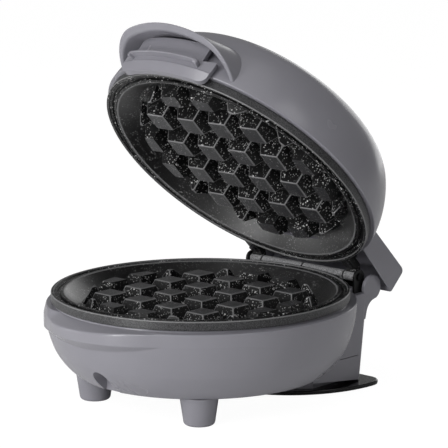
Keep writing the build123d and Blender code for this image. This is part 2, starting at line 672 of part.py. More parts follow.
def cord_wrap_flange():
    """Flat plate that keeps the wound cord up and is the base's third point of support."""
    half_ellipse = Pos(0, FLANGE_Y) * Ellipse(FLANGE_HALF, FLANGE_REACH)
    half_ellipse &= Pos(0, FLANGE_Y - FLANGE_REACH) * Rectangle(3 * FLANGE_HALF, 2 * FLANGE_REACH)
    back = Pos(0, FLANGE_Y + FLANGE_TAIL / 2) * Rectangle(2 * FLANGE_HALF, FLANGE_TAIL)
    plate = extrude(half_ellipse + back, FLANGE_T)
    corners = plate.edges().filter_by(Axis.Z).sort_by(Axis.Y)[-2:]
    plate = fillet(corners, FLANGE_CORNER)
    for x, y in FLANGE_SCREWS:
        plate -= disc(SCREW_R + FIT, -1, FLANGE_T + 1, x, y)
        plate -= disc(SCREW_HEAD_R + FIT, -1, FLANGE_T / 2, x, y)
    return plate


def flange_screws():
    seat = FLANGE_T / 2
    return [screw(x, y, seat, SHELF_Z + COVER_BOSS_H - 1, height=seat - 0.2) for x, y in FLANGE_SCREWS]


def bottom_cover():
    """Round cover with a rear tongue, three posts for the long screws and the foot spigots' holes."""
    half = REAR_HALF_LOW - WALL - 1.2
    rear = REAR_Y_LOW - WALL + 0.4
    cover = disc(FOOT_R - WALL - FIT, GROUND_GAP, SHELF_Z)
    cover += box(-half, half, REAR_FRONT, rear, GROUND_GAP, SHELF_Z)
    seat = GROUND_GAP + SCREW_SEAT
    post_top = BOSS_END - REFLECTOR_T
    for x, y in BOSSES:
        cover += disc(SCREW_HEAD_R + POST_WALL, GROUND_GAP, post_top, x, y)
        cover -= disc(SCREW_R + FIT, 0, post_top + 1, x, y)
        cover -= disc(SCREW_HEAD_R + FIT, 0, seat, x, y)
    for x, y in FLANGE_SCREWS:
        cover += disc(COVER_BOSS_R, SHELF_Z - 0.5, SHELF_Z + COVER_BOSS_H, x, y)
        cover -= disc(SCREW_R + FIT, 0, SHELF_Z + COVER_BOSS_H - 0.8, x, y)
    for side in (-1, 1):
        cover -= disc(SCREW_R + FIT, 0, SHELF_Z + 1, side * FEET_X, FEET_Y)
    return cover


def front_foot(side):
    """Tapered post with a rounded foot, pushed up against the cover and screwed from inside."""
    x = side * FEET_X
    low, high = FEET_R_LOW, FEET_R_TOP
    body = turned(
        Line((0, 0), (low - FEET_ROUND, 0)),
        ThreePointArc((low - FEET_ROUND, 0), (low - FEET_ROUND * (1 - sin(radians(45))),
                                              FEET_ROUND * (1 - cos(radians(45)))), (low, FEET_ROUND)),
        Line((low, FEET_ROUND), (high, GROUND_GAP)),
        Line((high, GROUND_GAP), (0, GROUND_GAP)),
        Line((0, GROUND_GAP), (0, 0)))
    body = Pos(x, FEET_Y, 0) * body
    return body - disc(SCREW_R + FIT, GROUND_GAP - FOOT_SCREW_L - 1, GROUND_GAP + 1, x, FEET_Y)


def foot_screws():
    tip = GROUND_GAP - FOOT_SCREW_L
    return [screw(side * FEET_X, FEET_Y, SHELF_Z, tip, down=False) for side in (-1, 1)]


def cord_bush():
    """Rubber bush in the rear wall, where a cord goes in."""
    bush = Cylinder(BUSH_R, BUSH_L) + Pos(0, 0, BUSH_L / 2) * Cylinder(BUSH_FLANGE_R, BUSH_FLANGE_T)
    bush -= Cylinder(BUSH_BORE_R, 3 * BUSH_L)
    wall_y = rear_wall_y(BUSH_Z)
    return Pos(0, wall_y - BUSH_L / 2 + BUSH_FLANGE_T + BUSH_CLEAR, BUSH_Z) * Rot(-90, 0, 0) * bush


# Pieces inside the base

def thermostat():
    """Disc thermostat against the plate's underside, with its two blades."""
    top = UNDER_Z - HEATER_REST
    shelf = top - THERMOSTAT_H
    body = disc(THERMOSTAT_R, shelf, top, 0, THERMOSTAT_Y)
    body += disc(THERMOSTAT_CAP_R, shelf - THERMOSTAT_CAP_H, shelf, 0, THERMOSTAT_Y)
    blade = Box(THERMOSTAT_R / 3, THERMOSTAT_CAP_H / 2, THERMOSTAT_CAP_H)
    for side in (-1, 1):
        body += Pos(side * THERMOSTAT_R / 2, THERMOSTAT_Y, shelf - THERMOSTAT_CAP_H * 0.7) * blade
    return body


def thermal_fuse():
    """Fuse in its sleeve, strapped across the plate's underside."""
    z = UNDER_Z - HEATER_REST - FUSE_R
    half = FUSE_L / 2
    sleeve = rod(FUSE_R, -half, half, y=FUSE_Y, z=z)
    return sleeve + rod(FUSE_WIRE_R, -half - FUSE_WIRE_L, half + FUSE_WIRE_L, y=FUSE_Y, z=z)


def terminal_block():
    """Block of three screw terminals on the bottom cover."""
    half = BLOCK_L / 2
    base = box(-half, half, BLOCK_FRONT, BLOCK_FRONT + BLOCK_W, SHELF_Z, SHELF_Z + BLOCK_T)
    well_z = SHELF_Z + BLOCK_T - BLOCK_WELL_D
    for i in range(-1, 2):
        base -= disc(BLOCK_WELL_R, well_z, SPAN, BLOCK_WELL_PITCH * i, BLOCK_FRONT + BLOCK_W / 2)
    return base


def cord_clamp():
    """Strap that holds the cord against the cover, just inside the bush."""
    middle = REAR_Y_LOW - CLAMP_IN
    strap = Pos(0, middle, SHELF_Z + CLAMP_H / 2) * Box(CLAMP_L, CLAMP_W, CLAMP_H)
    return strap - Pos(0, middle, SHELF_Z) * Rot(90, 0, 0) * Cylinder(BUSH_BORE_R, 2 * CLAMP_W)


# Lid

def dome(inset=0.0):
    """The dome as a full turned solid: steep side, round shoulder, crease and a low cap."""
    k = inset
    cap_r = LID_R - LID_CREASE_IN - k / 2
    cap_rise = LID_TOP_Z - LID_CREASE_Z
    cap_sphere = (cap_r**2 + cap_rise**2) / (2 * cap_rise)
    cap_mid = (cap_r / 2, LID_TOP_Z - k - cap_sphere + sqrt(cap_sphere**2 - cap_r**2 / 4))
    rim = (LID_R - k, LID_Z)
    side = (LID_R - LID_SIDE_IN - k, LID_SIDE_Z)
    shoulder = (LID_R - LID_SHOULDER_IN - k, LID_SHOULDER_Z - k / 3)
    turn = (LID_R - LID_TURN_IN - k * 0.75, LID_TURN_Z - k * 0.75)
    crease = (cap_r, LID_CREASE_Z - k)
    top = (0, LID_TOP_Z - k)
    return turned(
        Line((0, LID_Z), rim),
        ThreePointArc(rim, side, shoulder),
        ThreePointArc(shoulder, turn, crease),
        ThreePointArc(crease, cap_mid, top),
        Line(top, (0, LID_Z)))


def hinge_cover_block():
    """Box over the hinge, at the lid's rear."""
    front = PLATE_R / 2
    climb = (COVER_REAR - front) * tan(radians(COVER_FALL))
    outline = make_face(Polyline(
        (front, COVER_LOW + climb), (COVER_REAR, COVER_LOW), (COVER_REAR, COVER_TOP), (front, COVER_TOP),
        close=True))
    block = side_slab(outline, -COVER_HALF, COVER_HALF)
    return fillet(block.edges().filter_by(Axis.X).sort_by(Axis.Y)[-1], COVER_ROUND)


def lid_housing():
    """Dome and hinge cover in one moulding, open underneath."""
    block = hinge_cover_block()
    shell = dome() + (block - dome(WALL / 2))
    seat_z = 2 * PARTING - BAND_LOW
    shell += turned_polygon((BODY_CLEAR_R, seat_z), (SEAT_R, seat_z), (SEAT_R, LID_Z + WALL),
                            (BODY_CLEAR_R, LID_Z + WALL))
    shell -= dome(WALL) & disc(SPAN, LID_Z + WALL, SPAN)
    shell -= disc(BODY_CLEAR_R, 0, LID_Z + WALL + 1)
    inner = COVER_HALF - COVER_WALL
    bay = box(-inner, inner, PLATE_R / 2, COVER_REAR - COVER_WALL, COVER_LOW - 1, COVER_TOP - COVER_WALL)
    shell -= bay - disc(LID_R, 0, SPAN)
    for side in (-1, 1):
        x = side * ARM_SCREW_X
        post = disc(ARM_POST_R, LID_Z - 0.3, COVER_TOP - COVER_WALL + 0.5, x, ARM_SCREW_Y)
        shell += post - disc(BODY_CLEAR_R, 0, SPAN)
        shell -= disc(ARM_SCREW_R + FIT, 0, LID_Z + ARM_SCREW_L + 1, x, ARM_SCREW_Y)
    return shell - handle_screw_holes(SCREW_R + FIT)


def hood_arch(inset=0.0):
    """Front view of the hood's roof: a low arch with legs, as a closed face."""
    k = inset
    bend, side, foot = HOOD_BEND_X - k * 0.3, HOOD_SIDE_X - k * 0.7, HOOD_HALF - k / 2
    top = HOOD_TIP_Z - k
    bend_z, side_z = HOOD_BEND_Z - k * 0.95, HOOD_SIDE_Z - k * 0.5
    low = HOOD_FOOT_Z - 12
    return make_face([
        ThreePointArc((-bend, bend_z), (0, top), (bend, bend_z)),
        ThreePointArc((bend, bend_z), (side, side_z), (foot, HOOD_FOOT_Z)),
        Line((foot, HOOD_FOOT_Z), (foot, low)), Line((foot, low), (-foot, low)),
        Line((-foot, low), (-foot, HOOD_FOOT_Z)),
        ThreePointArc((-foot, HOOD_FOOT_Z), (-side, side_z), (-bend, bend_z))])


def hood_run(inset=0.0):
    """The arch drawn out from the hood's tip towards the lid, climbing as it goes."""
    lead = 2 * HOOD_WALL
    start = Plane(origin=(0, -HOOD_TIP - lead, -lead * tan(radians(HOOD_RISE))),
                  x_dir=(1, 0, 0), z_dir=(0, -1, 0))
    rise = radians(HOOD_RISE)
    return extrude(start * hood_arch(inset), HOOD_TIP * 0.6, dir=(0, cos(rise), sin(rise)))


def under_hood_rim():
    """Everything under the hood's rim, which lies in one plane from the tip down to the legs."""
    outline = make_face(Polyline(
        (-HOOD_TIP - SPAN, HOOD_TIP_Z + HOOD_FALL * SPAN), (0, HOOD_TIP_Z - HOOD_FALL * HOOD_TIP),
        (0, -SPAN), (-HOOD_TIP - SPAN, -SPAN), close=True))
    return side_slab(outline, -SPAN, SPAN)


def handle_hood():
    """Arched roof that the fingers pull against, hollow underneath."""
    body = hood_run() - under_hood_rim()
    body -= hood_run(HOOD_WALL) & box(-SPAN, SPAN, -SPAN, -HOOD_ROOT + 5, 0, SPAN)
    return body - dome(-0.1) - disc(LID_R + 0.1, 0, LID_Z + 4)


def wedge(half_deg):
    """Sector around the handle's middle, for cutting pieces turned about Z."""
    a = radians(half_deg)
    outline = Polyline((0, 0), (-SPAN * sin(a), -SPAN * cos(a)), (SPAN * sin(a), -SPAN * cos(a)), close=True)
    return extrude(make_face(outline), SPAN)


def apron_outline():
    """Front view of the apron: a skirt with round lower corners, and a narrower panel above it."""
    skirt = Pos(0, (APRON_LOW_Z + RIDGE_Z) / 2) * Rectangle(2 * SKIRT_HALF, RIDGE_Z - APRON_LOW_Z)
    skirt = fillet(skirt.vertices().sort_by(Axis.Y)[:2], SKIRT_CORNER)
    low = (APRON_LOW_Z + RIDGE_Z) / 2
    panel = Pos(0, (low + APRON_TOP_Z) / 2) * Rectangle(2 * PANEL_HALF, APRON_TOP_Z - low)
    panel = fillet(panel.vertices().sort_by(Axis.Y)[-2:], PANEL_CORNER)
    return skirt + panel


def handle_apron():
    """Curved panel behind the hood: upright panel, ridge, and a skirt over the plates' edge."""
    skirt_top = RIDGE_Z - 1.2
    back = APRON_R - APRON_T
    low_back = APRON_LOW_R - APRON_T / 2
    panel = turned_polygon(
        (low_back, APRON_LOW_Z), (APRON_LOW_R, APRON_LOW_Z),
        (APRON_R + 0.4, skirt_top - 1.0), (APRON_R, skirt_top), (APRON_R, APRON_TOP_Z),
        (back, APRON_TOP_Z), (back, skirt_top))
    ridge = turned_polygon(
        (back, RIDGE_Z), (RIDGE_R, RIDGE_Z), (RIDGE_R, RIDGE_Z + RIDGE_T), (back, RIDGE_Z + RIDGE_T))
    apron = panel & extrude(Plane.XZ * apron_outline(), SPAN) & hood_run(HOOD_WALL + FIT)
    apron += ridge & wedge(RIDGE_HALF_DEG)
    low = RIDGE_Z - RIDGE_DROP
    ends = turned_polygon((back, low), (RIDGE_R - RIDGE_T, low), (RIDGE_R, RIDGE_Z + 0.1), (back, RIDGE_Z + 0.1))
    apron += ends & (wedge(RIDGE_HALF_DEG) - wedge(RIDGE_HALF_DEG - RIDGE_T))
    return apron - handle_screw_holes(SCREW_R + FIT)


def handle_screw(side, grow=0.0):
    """Screw from inside the dome, through its wall, into the apron's panel."""
    inner = LID_R - LID_SIDE_IN - WALL - 0.9
    tip = APRON_R - HANDLE_SKIN
    lie = Rot(90, 0, 0)
    shank = Pos(0, -(inner + tip) / 2, HANDLE_SCREW_Z) * lie * Cylinder(SCREW_R + grow, tip - inner)
    head = Pos(0, -inner + SCREW_HEAD_H / 2, HANDLE_SCREW_Z) * lie * Cylinder(SCREW_HEAD_R, SCREW_HEAD_H)
    return Rot(0, 0, side * HANDLE_SCREW_DEG) * (shank if grow else shank + head)


def handle_screws():
    return [handle_screw(side) for side in (-1, 1)]


def handle_screw_holes(radius):
    return handle_screw(-1, radius - SCREW_R) + handle_screw(1, radius - SCREW_R)


# All the pieces by body: the base's are drawn in place, and the lid's are drawn shut

def base_pieces():
    return {
        "lower_housing": lower_housing(),
        "bottom_cover": bottom_cover(),
        "front_foot_left": front_foot(-1),
        "front_foot_right": front_foot(1),
        "foot_screws": foot_screws(),
        "cord_wrap_core": cord_wrap_core(),
        "cord_wrap_flange": cord_wrap_flange(),
        "flange_screws": flange_screws(),
        "cord_bush": cord_bush(),
        "cord_clamp": cord_clamp(),
        "terminal_block": terminal_block(),
        "thermostat": thermostat(),
        "thermal_fuse": thermal_fuse(),
        "lower_plate": lower_plate(),
        "lower_heater": heater(),
        "lower_reflector": reflector(),
        "lower_plate_screws": lower_plate_screws(),
        "hinge_pin": hinge_pin(),
        "hinge_bracket": hinge_bracket(),
        "bracket_screws": bracket_screws(),
    }


def lid_pieces():
    return {
        "upper_plate": upper_plate(),
        "arm_screws": arm_screws(),
        "upper_heater": lid_flip(heater()),
        "upper_reflector": lid_flip(reflector()),
        "upper_reflector_screws": upper_reflector_screws(),
        "lid_housing": lid_housing(),
        "handle_hood": handle_hood(),
        "handle_apron": handle_apron(),
        "handle_screws": handle_screws(),
    }


def as_list(piece):
    return piece if isinstance(piece, list) else [piece]


def opened(shape):
    """Turns a lid piece about the hinge pin to the angle at which the lid stands."""
    axis = Axis((0, HINGE_Y, HINGE_Z), (-1, 0, 0))
    return shape.rotate(axis, LID_OPEN)


def main():
    pieces = {name: as_list(piece) for name, piece in base_pieces().items()}
    for name, piece in lid_pieces().items():
        pieces[name] = [opened(shape) for shape in as_list(piece)]
    solids = [solid for shapes in pieces.values() for shape in shapes for solid in shape.solids()]
    whole = Compound(solids).bounding_box()
    shift_y = -(whole.min.Y + whole.max.Y) / 2
    middle = Pos(-(whole.min.X + whole.max.X) / 2, shift_y, 0)
    print("plates' axis at y", round(shift_y, 3), "hinge at", round(shift_y + HINGE_Y, 3), HINGE_Z)
    print("box", whole.min, whole.max)
    os.makedirs("parts", exist_ok=True)
    for name, shapes in pieces.items():
        solids = [middle * solid for shape in shapes for solid in shape.solids()]
        export_step(Compound(solids) if len(solids) > 1 else solids[0], f"parts/{name}.step")


main()
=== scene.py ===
import math

import bmesh
import bpy
from mathutils import Matrix, Vector


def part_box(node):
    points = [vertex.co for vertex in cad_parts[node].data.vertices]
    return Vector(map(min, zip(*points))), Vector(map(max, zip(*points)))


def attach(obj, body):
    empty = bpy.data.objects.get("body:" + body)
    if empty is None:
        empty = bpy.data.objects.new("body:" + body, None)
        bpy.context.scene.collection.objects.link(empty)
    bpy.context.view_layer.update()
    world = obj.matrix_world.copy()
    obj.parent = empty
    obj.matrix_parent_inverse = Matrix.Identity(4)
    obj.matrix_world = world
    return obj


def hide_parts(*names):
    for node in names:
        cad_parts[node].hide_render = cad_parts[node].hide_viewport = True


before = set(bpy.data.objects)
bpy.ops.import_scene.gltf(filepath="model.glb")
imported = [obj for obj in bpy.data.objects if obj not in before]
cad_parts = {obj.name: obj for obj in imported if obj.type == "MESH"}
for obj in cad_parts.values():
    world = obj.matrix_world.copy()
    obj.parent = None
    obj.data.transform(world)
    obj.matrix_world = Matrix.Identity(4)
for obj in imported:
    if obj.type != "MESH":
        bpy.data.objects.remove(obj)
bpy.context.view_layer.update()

# Small round waffle maker with its lid standing open. Metres, in the frame of the solids.
# Pieces are drawn in millimetres round the plates' axis, with the lid shut, and then placed.


# The stand: where it is looked at from, the light, and the pale table.
# The lens is long and low, and looks down on the base from the front right.
# It is aimed from the plates' axis, one plate radius behind the lower plate's front.

PLATE_R = 62.0
plate_axis_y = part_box("lower_plate")[0].y + PLATE_R / 1000

turn = math.radians(43.34)
tilt = math.radians(10.98)
lean = math.radians(0.22)
distance = 1.1
aim_right, aim_up, aim_height = 0.00979, 0.01294, 0.06

back = Vector((math.sin(turn) * math.cos(tilt), -math.cos(turn) * math.cos(tilt), math.sin(tilt)))
right = Vector((math.cos(turn), math.sin(turn), 0.0))
up = back.cross(right)
aim = right * aim_right + up * aim_up + Vector((0, plate_axis_y, aim_height))
camera_data = bpy.data.cameras.new("camera")
camera_data.lens = 213.93
camera_data.sensor_width = 36.0
camera_data.clip_start = 0.05
camera = bpy.data.objects.new("camera", camera_data)
bpy.context.scene.collection.objects.link(camera)
across = right * math.cos(lean) - up * math.sin(lean)
upright = right * math.sin(lean) + up * math.cos(lean)
facing = Matrix((across, upright, back)).transposed().to_4x4()
camera.matrix_world = Matrix.Translation(aim + back * distance) @ facing
bpy.context.scene.camera = camera
bpy.context.scene.view_settings.view_transform = "Standard"

lit_spot = Vector((0, 0, 0.07))
lamp_distance = 0.9


def softbox(name, place, size, watts):
    """Square lamp with a diffuser, at a place from the lit spot and facing it."""
    lamp = bpy.data.lights.new(name, "AREA")
    lamp.shape = "SQUARE"
    lamp.size = size
    lamp.energy = watts
    stand = bpy.data.objects.new(name, lamp)
    bpy.context.scene.collection.objects.link(stand)
    stand.location = lit_spot + place
    stand.rotation_mode = "QUATERNION"
    stand.rotation_quaternion = place.to_track_quat("Z", "Y")


softbox("key_light", (back * 0.85 - right * 0.6 + up * 0.4) * lamp_distance, 0.6, 5.3)
softbox("top_light", (up * 1.0 + back * 0.3) * lamp_distance, 0.8, 0.9)
softbox("side_light", Vector((-0.40, -0.30, -0.01)), 0.2, 0.3)
softbox("front_light", Vector((-0.04, -0.55, -0.015)), 0.12, 0.85)
softbox("back_light", Vector((-0.25, 0.8, 0.06)), 0.5, 1.0)
softbox("window_light", (back * 0.55 + right * 0.58 + up * 0.58) * lamp_distance, 0.3, 0.45)


def add(tree, kind, **values):
    """A node with its settings and the values of its sockets."""
    node = tree.nodes.new(kind)
    for key, value in values.items():
        if key in node.inputs:
            node.inputs[key].default_value = value
        else:
            setattr(node, key, value)
    return node


def worked(tree, operation, first, second):
    """Result of a Math node on two outputs, or on an output and a number."""
    node = add(tree, "ShaderNodeMath", operation=operation)
    for socket, value in zip(node.inputs, (first, second)):
        if isinstance(value, float):
            socket.default_value = value
        else:
            tree.links.new(value, socket)
    return node.outputs[0]


def seen_white(tree, dim, low):
    """Strength of 1 for what looks at it, dim for what mirrors it, and low for what it lights."""
    path = tree.nodes.new("ShaderNodeLightPath").outputs
    looked_at = worked(tree, "MAXIMUM", path["Is Camera Ray"], path["Is Transmission Ray"])
    mirrored = worked(tree, "MULTIPLY", path["Is Glossy Ray"], dim)
    return worked(tree, "MAXIMUM", worked(tree, "MAXIMUM", looked_at, mirrored), low)


room = bpy.data.worlds.new("pale_room")
bpy.context.scene.world = room
room.use_nodes = True
room_shader = room.node_tree.nodes["Background"]
room_shader.inputs["Color"].default_value = (1, 1, 1, 1)
room.node_tree.links.new(seen_white(room.node_tree, 0.2, 0.22), room_shader.inputs["Strength"])

table_mesh = bpy.data.meshes.new("table")
table_bm = bmesh.new()
bmesh.ops.create_circle(table_bm, cap_ends=True, segments=96, radius=9.0)
table_bm.to_mesh(table_mesh)
table_bm.free()
table = bpy.data.objects.new("table", table_mesh)
bpy.context.scene.collection.objects.link(table)

table_paint = bpy.data.materials.new("table_white")
table_paint.use_nodes = True
table_tree = table_paint.node_tree
table_shader = table_tree.nodes["Principled BSDF"]
table_shader.inputs["Base Color"].default_value = (0.95, 0.95, 0.95, 1)
table_shader.inputs["Roughness"].default_value = 0.9
table_shader.inputs["Specular IOR Level"].default_value = 0.1
table_glow = add(table_tree, "ShaderNodeEmission", Strength=1.1)
table_mix = table_tree.nodes.new("ShaderNodeMixShader")
table_path = table_tree.nodes.new("ShaderNodeLightPath")
table_share = worked(table_tree, "MULTIPLY", table_path.outputs["Is Camera Ray"], 0.88)
table_tree.links.new(table_share, table_mix.inputs[0])
table_tree.links.new(table_shader.outputs[0], table_mix.inputs[1])
table_tree.links.new(table_glow.outputs[0], table_mix.inputs[2])
table_tree.links.new(table_mix.outputs[0], table_tree.nodes["Material Output"].inputs["Surface"])
table.data.materials.append(table_paint)


# Cooking plates: two die-cast aluminium dishes with a double rim and a grid of square blocks,
# coated with speckled black non-stick. The lower one is screwed down in the base, and the
# upper one hangs in the lid. Knuckles cast on both share the hinge pin.

PARTING = 46.4
RIM_TOP = 46.2
INNER_RIM_TOP = 46.0
FLOOR_Z = 38.8
UNDER_Z = 35.8
WALL_FOOT_R = 49.5
WALL_TOP_R = 56.6
OUTER_RIM_R = 60.8
GRID_R = 49.0
BLOCK_PITCH = 17.6
BLOCK_FOOT = 13.6
BLOCK_TIP = 9.2
BLOCK_HEIGHT = 6.1
BLOCK_SUNK = 0.4
BLOCK_EDGE = 0.4
LEAST_BLOCK = 3.4
CUT_DRAFT = 2.6
HINGE_Y = 64.5
HINGE_Z = 45.0
KNUCKLE_R = 2.1
LUG_END_R = 60.9
lid_turn = math.radians(46)
hard_edge = math.radians(32)
FLOOR_COAT, TIP_COAT, EDGE_HIGHLIGHT, RIM_SHEEN, WALL_COAT = range(5)


def softened(bm, edges, size, segments=3):
    """Rounds edges off by a size in millimetres, and gives the new faces."""
    made = bmesh.ops.bevel(bm, geom=edges, offset=size / 1000, offset_type="OFFSET", affect="EDGES",
                           segments=segments, profile=0.5, material=-1, clamp_overlap=True)
    return made["faces"]


def sliced(bm, place, normal, closed=True, **cleared):
    """Cuts a mesh by a plane. One side may be cleared away, and the cut is then closed."""
    cut = bmesh.ops.bisect_plane(bm, geom=bm.verts[:] + bm.edges[:] + bm.faces[:], dist=1e-7,
                                 plane_co=place, plane_no=normal, **cleared)
    rim = [g for g in cut["geom_cut"] if isinstance(g, bmesh.types.BMEdge)]
    if closed and rim:
        bmesh.ops.holes_fill(bm, edges=rim, sides=0)


def drawn_out(bm, way):
    """Gives a flat face thickness along a way, with its faces pointing outwards."""
    drawn = bmesh.ops.extrude_face_region(bm, geom=bm.faces[:])
    moved = [g for g in drawn["geom"] if isinstance(g, bmesh.types.BMVert)]
    bmesh.ops.translate(bm, verts=moved, vec=way)
    bmesh.ops.recalc_face_normals(bm, faces=bm.faces[:])


def section(points):
    """Outline of (radius or y, height, softened corner) in the XZ plane, as one face."""
    bm = bmesh.new()
    corners = [bm.verts.new((a / 1000, 0, b / 1000)) for a, b, soft in points]
    bm.faces.new(corners)
    for soft in sorted({point[2] for point in points if point[2]}):
        picked = [v for v, point in zip(corners, points) if point[2] == soft]
        bmesh.ops.bevel(bm, geom=picked, offset=soft / 1000, offset_type="OFFSET", affect="VERTICES",
                        segments=4, profile=0.5, material=-1, clamp_overlap=True)
    return bm


def spun(points, steps):
    """Solid turned about the plates' axis from its section."""
    bm = section(points)
    bmesh.ops.delete(bm, geom=bm.faces[:], context="FACES_ONLY")
    bmesh.ops.spin(bm, geom=bm.verts[:] + bm.edges[:], cent=(0, 0, 0), axis=(0, 0, 1),
                   angle=math.tau, steps=steps, use_merge=True)
    bmesh.ops.remove_doubles(bm, verts=bm.verts[:], dist=2e-6)
    bmesh.ops.recalc_face_normals(bm, faces=bm.faces[:])
    return bm


def slab(points, x0, x1, soft):
    """Side view (y, height, softened corner) drawn out along X, its two rims rounded."""
    bm = section(points)
    bmesh.ops.rotate(bm, verts=bm.verts[:], cent=(0, 0, 0), matrix=Matrix.Rotation(math.pi / 2, 3, "Z"))
    bmesh.ops.translate(bm, verts=bm.verts[:], vec=(x0 / 1000, 0, 0))
    drawn_out(bm, ((x1 - x0) / 1000, 0, 0))
    if soft:
        ends = [f for f in bm.faces if abs(f.normal.x) > 0.99]
        softened(bm, list(dict.fromkeys(e for f in ends for e in f.edges)), soft)
    return bm


def joined(parts):
    """Several meshes as one."""
    whole = bmesh.new()
    for bm in parts:
        scrap = bpy.data.meshes.new("scrap")
        bm.to_mesh(scrap)
        bm.free()
        whole.from_mesh(scrap)
        bpy.data.meshes.remove(scrap)
    return whole


def lid_place():
    """From the shut lid to where the lid stands at rest."""
    pin = Vector((0, HINGE_Y / 1000, HINGE_Z / 1000))
    return Matrix.Translation(pin) @ Matrix.Rotation(lid_turn, 4, (-1, 0, 0)) @ Matrix.Translation(-pin)


def placed(name, bm, body, paint, stands_for=()):
    """Puts a finished mesh on its body, shaded round except at hard edges."""
    if body == "lid":
        bmesh.ops.transform(bm, matrix=lid_place(), verts=bm.verts[:])
    bmesh.ops.translate(bm, verts=bm.verts[:], vec=(0, plate_axis_y, 0))
    mesh = bpy.data.meshes.new(name)
    bm.to_mesh(mesh)
    bm.free()
    mesh.shade_smooth()
    mesh.set_sharp_from_angle(angle=hard_edge)
    for one in paint if isinstance(paint, list) else [paint]:
        mesh.materials.append(one)
    piece = bpy.data.objects.new(name, mesh)
    bpy.context.scene.collection.objects.link(piece)
    flat = piece.modifiers.new("even_faces", "WEIGHTED_NORMAL")
    flat.keep_sharp = True
    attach(piece, body)
    if stands_for:
        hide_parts(*stands_for)


def shade(r, g, b):
    """Colour of a swatch read on the 0 to 255 scale, as the shaders take it."""
    parts = [c / 255 for c in (r, g, b)]
    return [c / 12.92 if c <= 0.04045 else ((c + 0.055) / 1.055) ** 2.4 for c in parts] + [1.0]


def spread(tree, value, low, high, to_low=0.0, to_high=1.0):
    """Carries the span from low to high of an output to another span, and stops at its ends."""
    node = add(tree, "ShaderNodeMapRange")
    for key, number in zip(("From Min", "From Max", "To Min", "To Max"), (low, high, to_low, to_high)):
        node.inputs[key].default_value = number
    tree.links.new(value, node.inputs["Value"])
    return node.outputs["Result"]


def blended(tree, share, none, full):
    """Colour between two, by a share that changes over the surface."""
    node = add(tree, "ShaderNodeMix", data_type="RGBA")
    node.inputs["A"].default_value = none
    node.inputs["B"].default_value = full
    tree.links.new(share, node.inputs["Factor"])
    return node.outputs["Result"]


def new_paint(name, roughness, metallic=0.0, specular=0.5, ior=1.5):
    """A material, its tree and its shader, with the values that are the same all over."""
    made = bpy.data.materials.new(name)
    made.use_nodes = True
    shader = made.node_tree.nodes["Principled BSDF"]
    shader.inputs["Roughness"].default_value = roughness
    shader.inputs["Metallic"].default_value = metallic
    shader.inputs["Specular IOR Level"].default_value = specular
    shader.inputs["IOR"].default_value = ior
    return made, made.node_tree, shader


def new_group(name, inputs, outputs):
    """An empty node group with its named sockets, its entry and its exit."""
    group = bpy.data.node_groups.new(name, "ShaderNodeTree")
    for in_out, names in (("INPUT", inputs), ("OUTPUT", outputs)):
        for socket in names:
            group.interface.new_socket(socket, in_out=in_out, socket_type="NodeSocketFloat")
    return group, group.nodes.new("NodeGroupInput").outputs, group.nodes.new("NodeGroupOutput").inputs


def grain_group():
    """Fine grain that a moulded, cast or coated surface has: a height, and wide clouds from 0 to 1."""
    group, given, result = new_group("fine_grain", ["Grains per metre"], ["Height", "Cloud"])
    where = group.nodes.new("ShaderNodeTexCoord").outputs["Object"]
    fine = add(group, "ShaderNodeTexNoise", Detail=2.0, Roughness=0.6)
    wide = add(group, "ShaderNodeTexNoise", Scale=45.0, Detail=3.0, Roughness=0.55)
    group.links.new(where, fine.inputs["Vector"])
    group.links.new(where, wide.inputs["Vector"])
    group.links.new(given["Grains per metre"], fine.inputs["Scale"])
    group.links.new(fine.outputs["Fac"], result["Height"])
    group.links.new(wide.outputs["Fac"], result["Cloud"])
    return group


def fleck_group():
    """White mineral flecks of two sizes, crowded in patches: a mask from 0 to the given amount."""
    group, given, result = new_group("mineral_flecks", ["Amount"], ["Flecks"])
    where = group.nodes.new("ShaderNodeTexCoord").outputs["Object"]
    masks = []
    for per_metre, size, share in ((660.0, 0.29, 0.5), (1300.0, 0.35, 0.55)):
        cells = add(group, "ShaderNodeTexVoronoi", Scale=per_metre, Randomness=1.0)
        group.links.new(where, cells.inputs["Vector"])
        chance = group.nodes.new("ShaderNodeSeparateColor")
        group.links.new(cells.outputs["Color"], chance.inputs["Color"])
        dot = spread(group, cells.outputs["Distance"], size, size * 0.55)
        chosen = worked(group, "LESS_THAN", chance.outputs["Red"], share)
        lively = spread(group, chance.outputs["Green"], 0.0, 1.0, 0.25)
        masks.append(worked(group, "MULTIPLY", worked(group, "MULTIPLY", dot, chosen), lively))
    patches = add(group, "ShaderNodeTexNoise", Scale=110.0, Detail=1.0)
    group.links.new(where, patches.inputs["Vector"])
    crowd = spread(group, patches.outputs["Fac"], 0.38, 0.6, 0.2)
    flecks = worked(group, "MULTIPLY", worked(group, "MAXIMUM", *masks), crowd)
    group.links.new(worked(group, "MULTIPLY", flecks, given["Amount"]), result["Flecks"])
    return group


fine_grain = grain_group()
mineral_flecks = fleck_group()


def grained(tree, shader, per_metre, depth, low, high):
    """Gives a material the fine grain: a bump of that depth, and a roughness from low to high."""
    grain = add(tree, "ShaderNodeGroup", node_tree=fine_grain)
    grain.inputs["Grains per metre"].default_value = per_metre
    bump = add(tree, "ShaderNodeBump", Strength=1.0, Distance=depth)
    tree.links.new(grain.outputs["Height"], bump.inputs["Height"])
    tree.links.new(bump.outputs["Normal"], shader.inputs["Normal"])
    tree.links.new(spread(tree, grain.outputs["Cloud"], 0.3, 0.7, low, high), shader.inputs["Roughness"])
    return grain


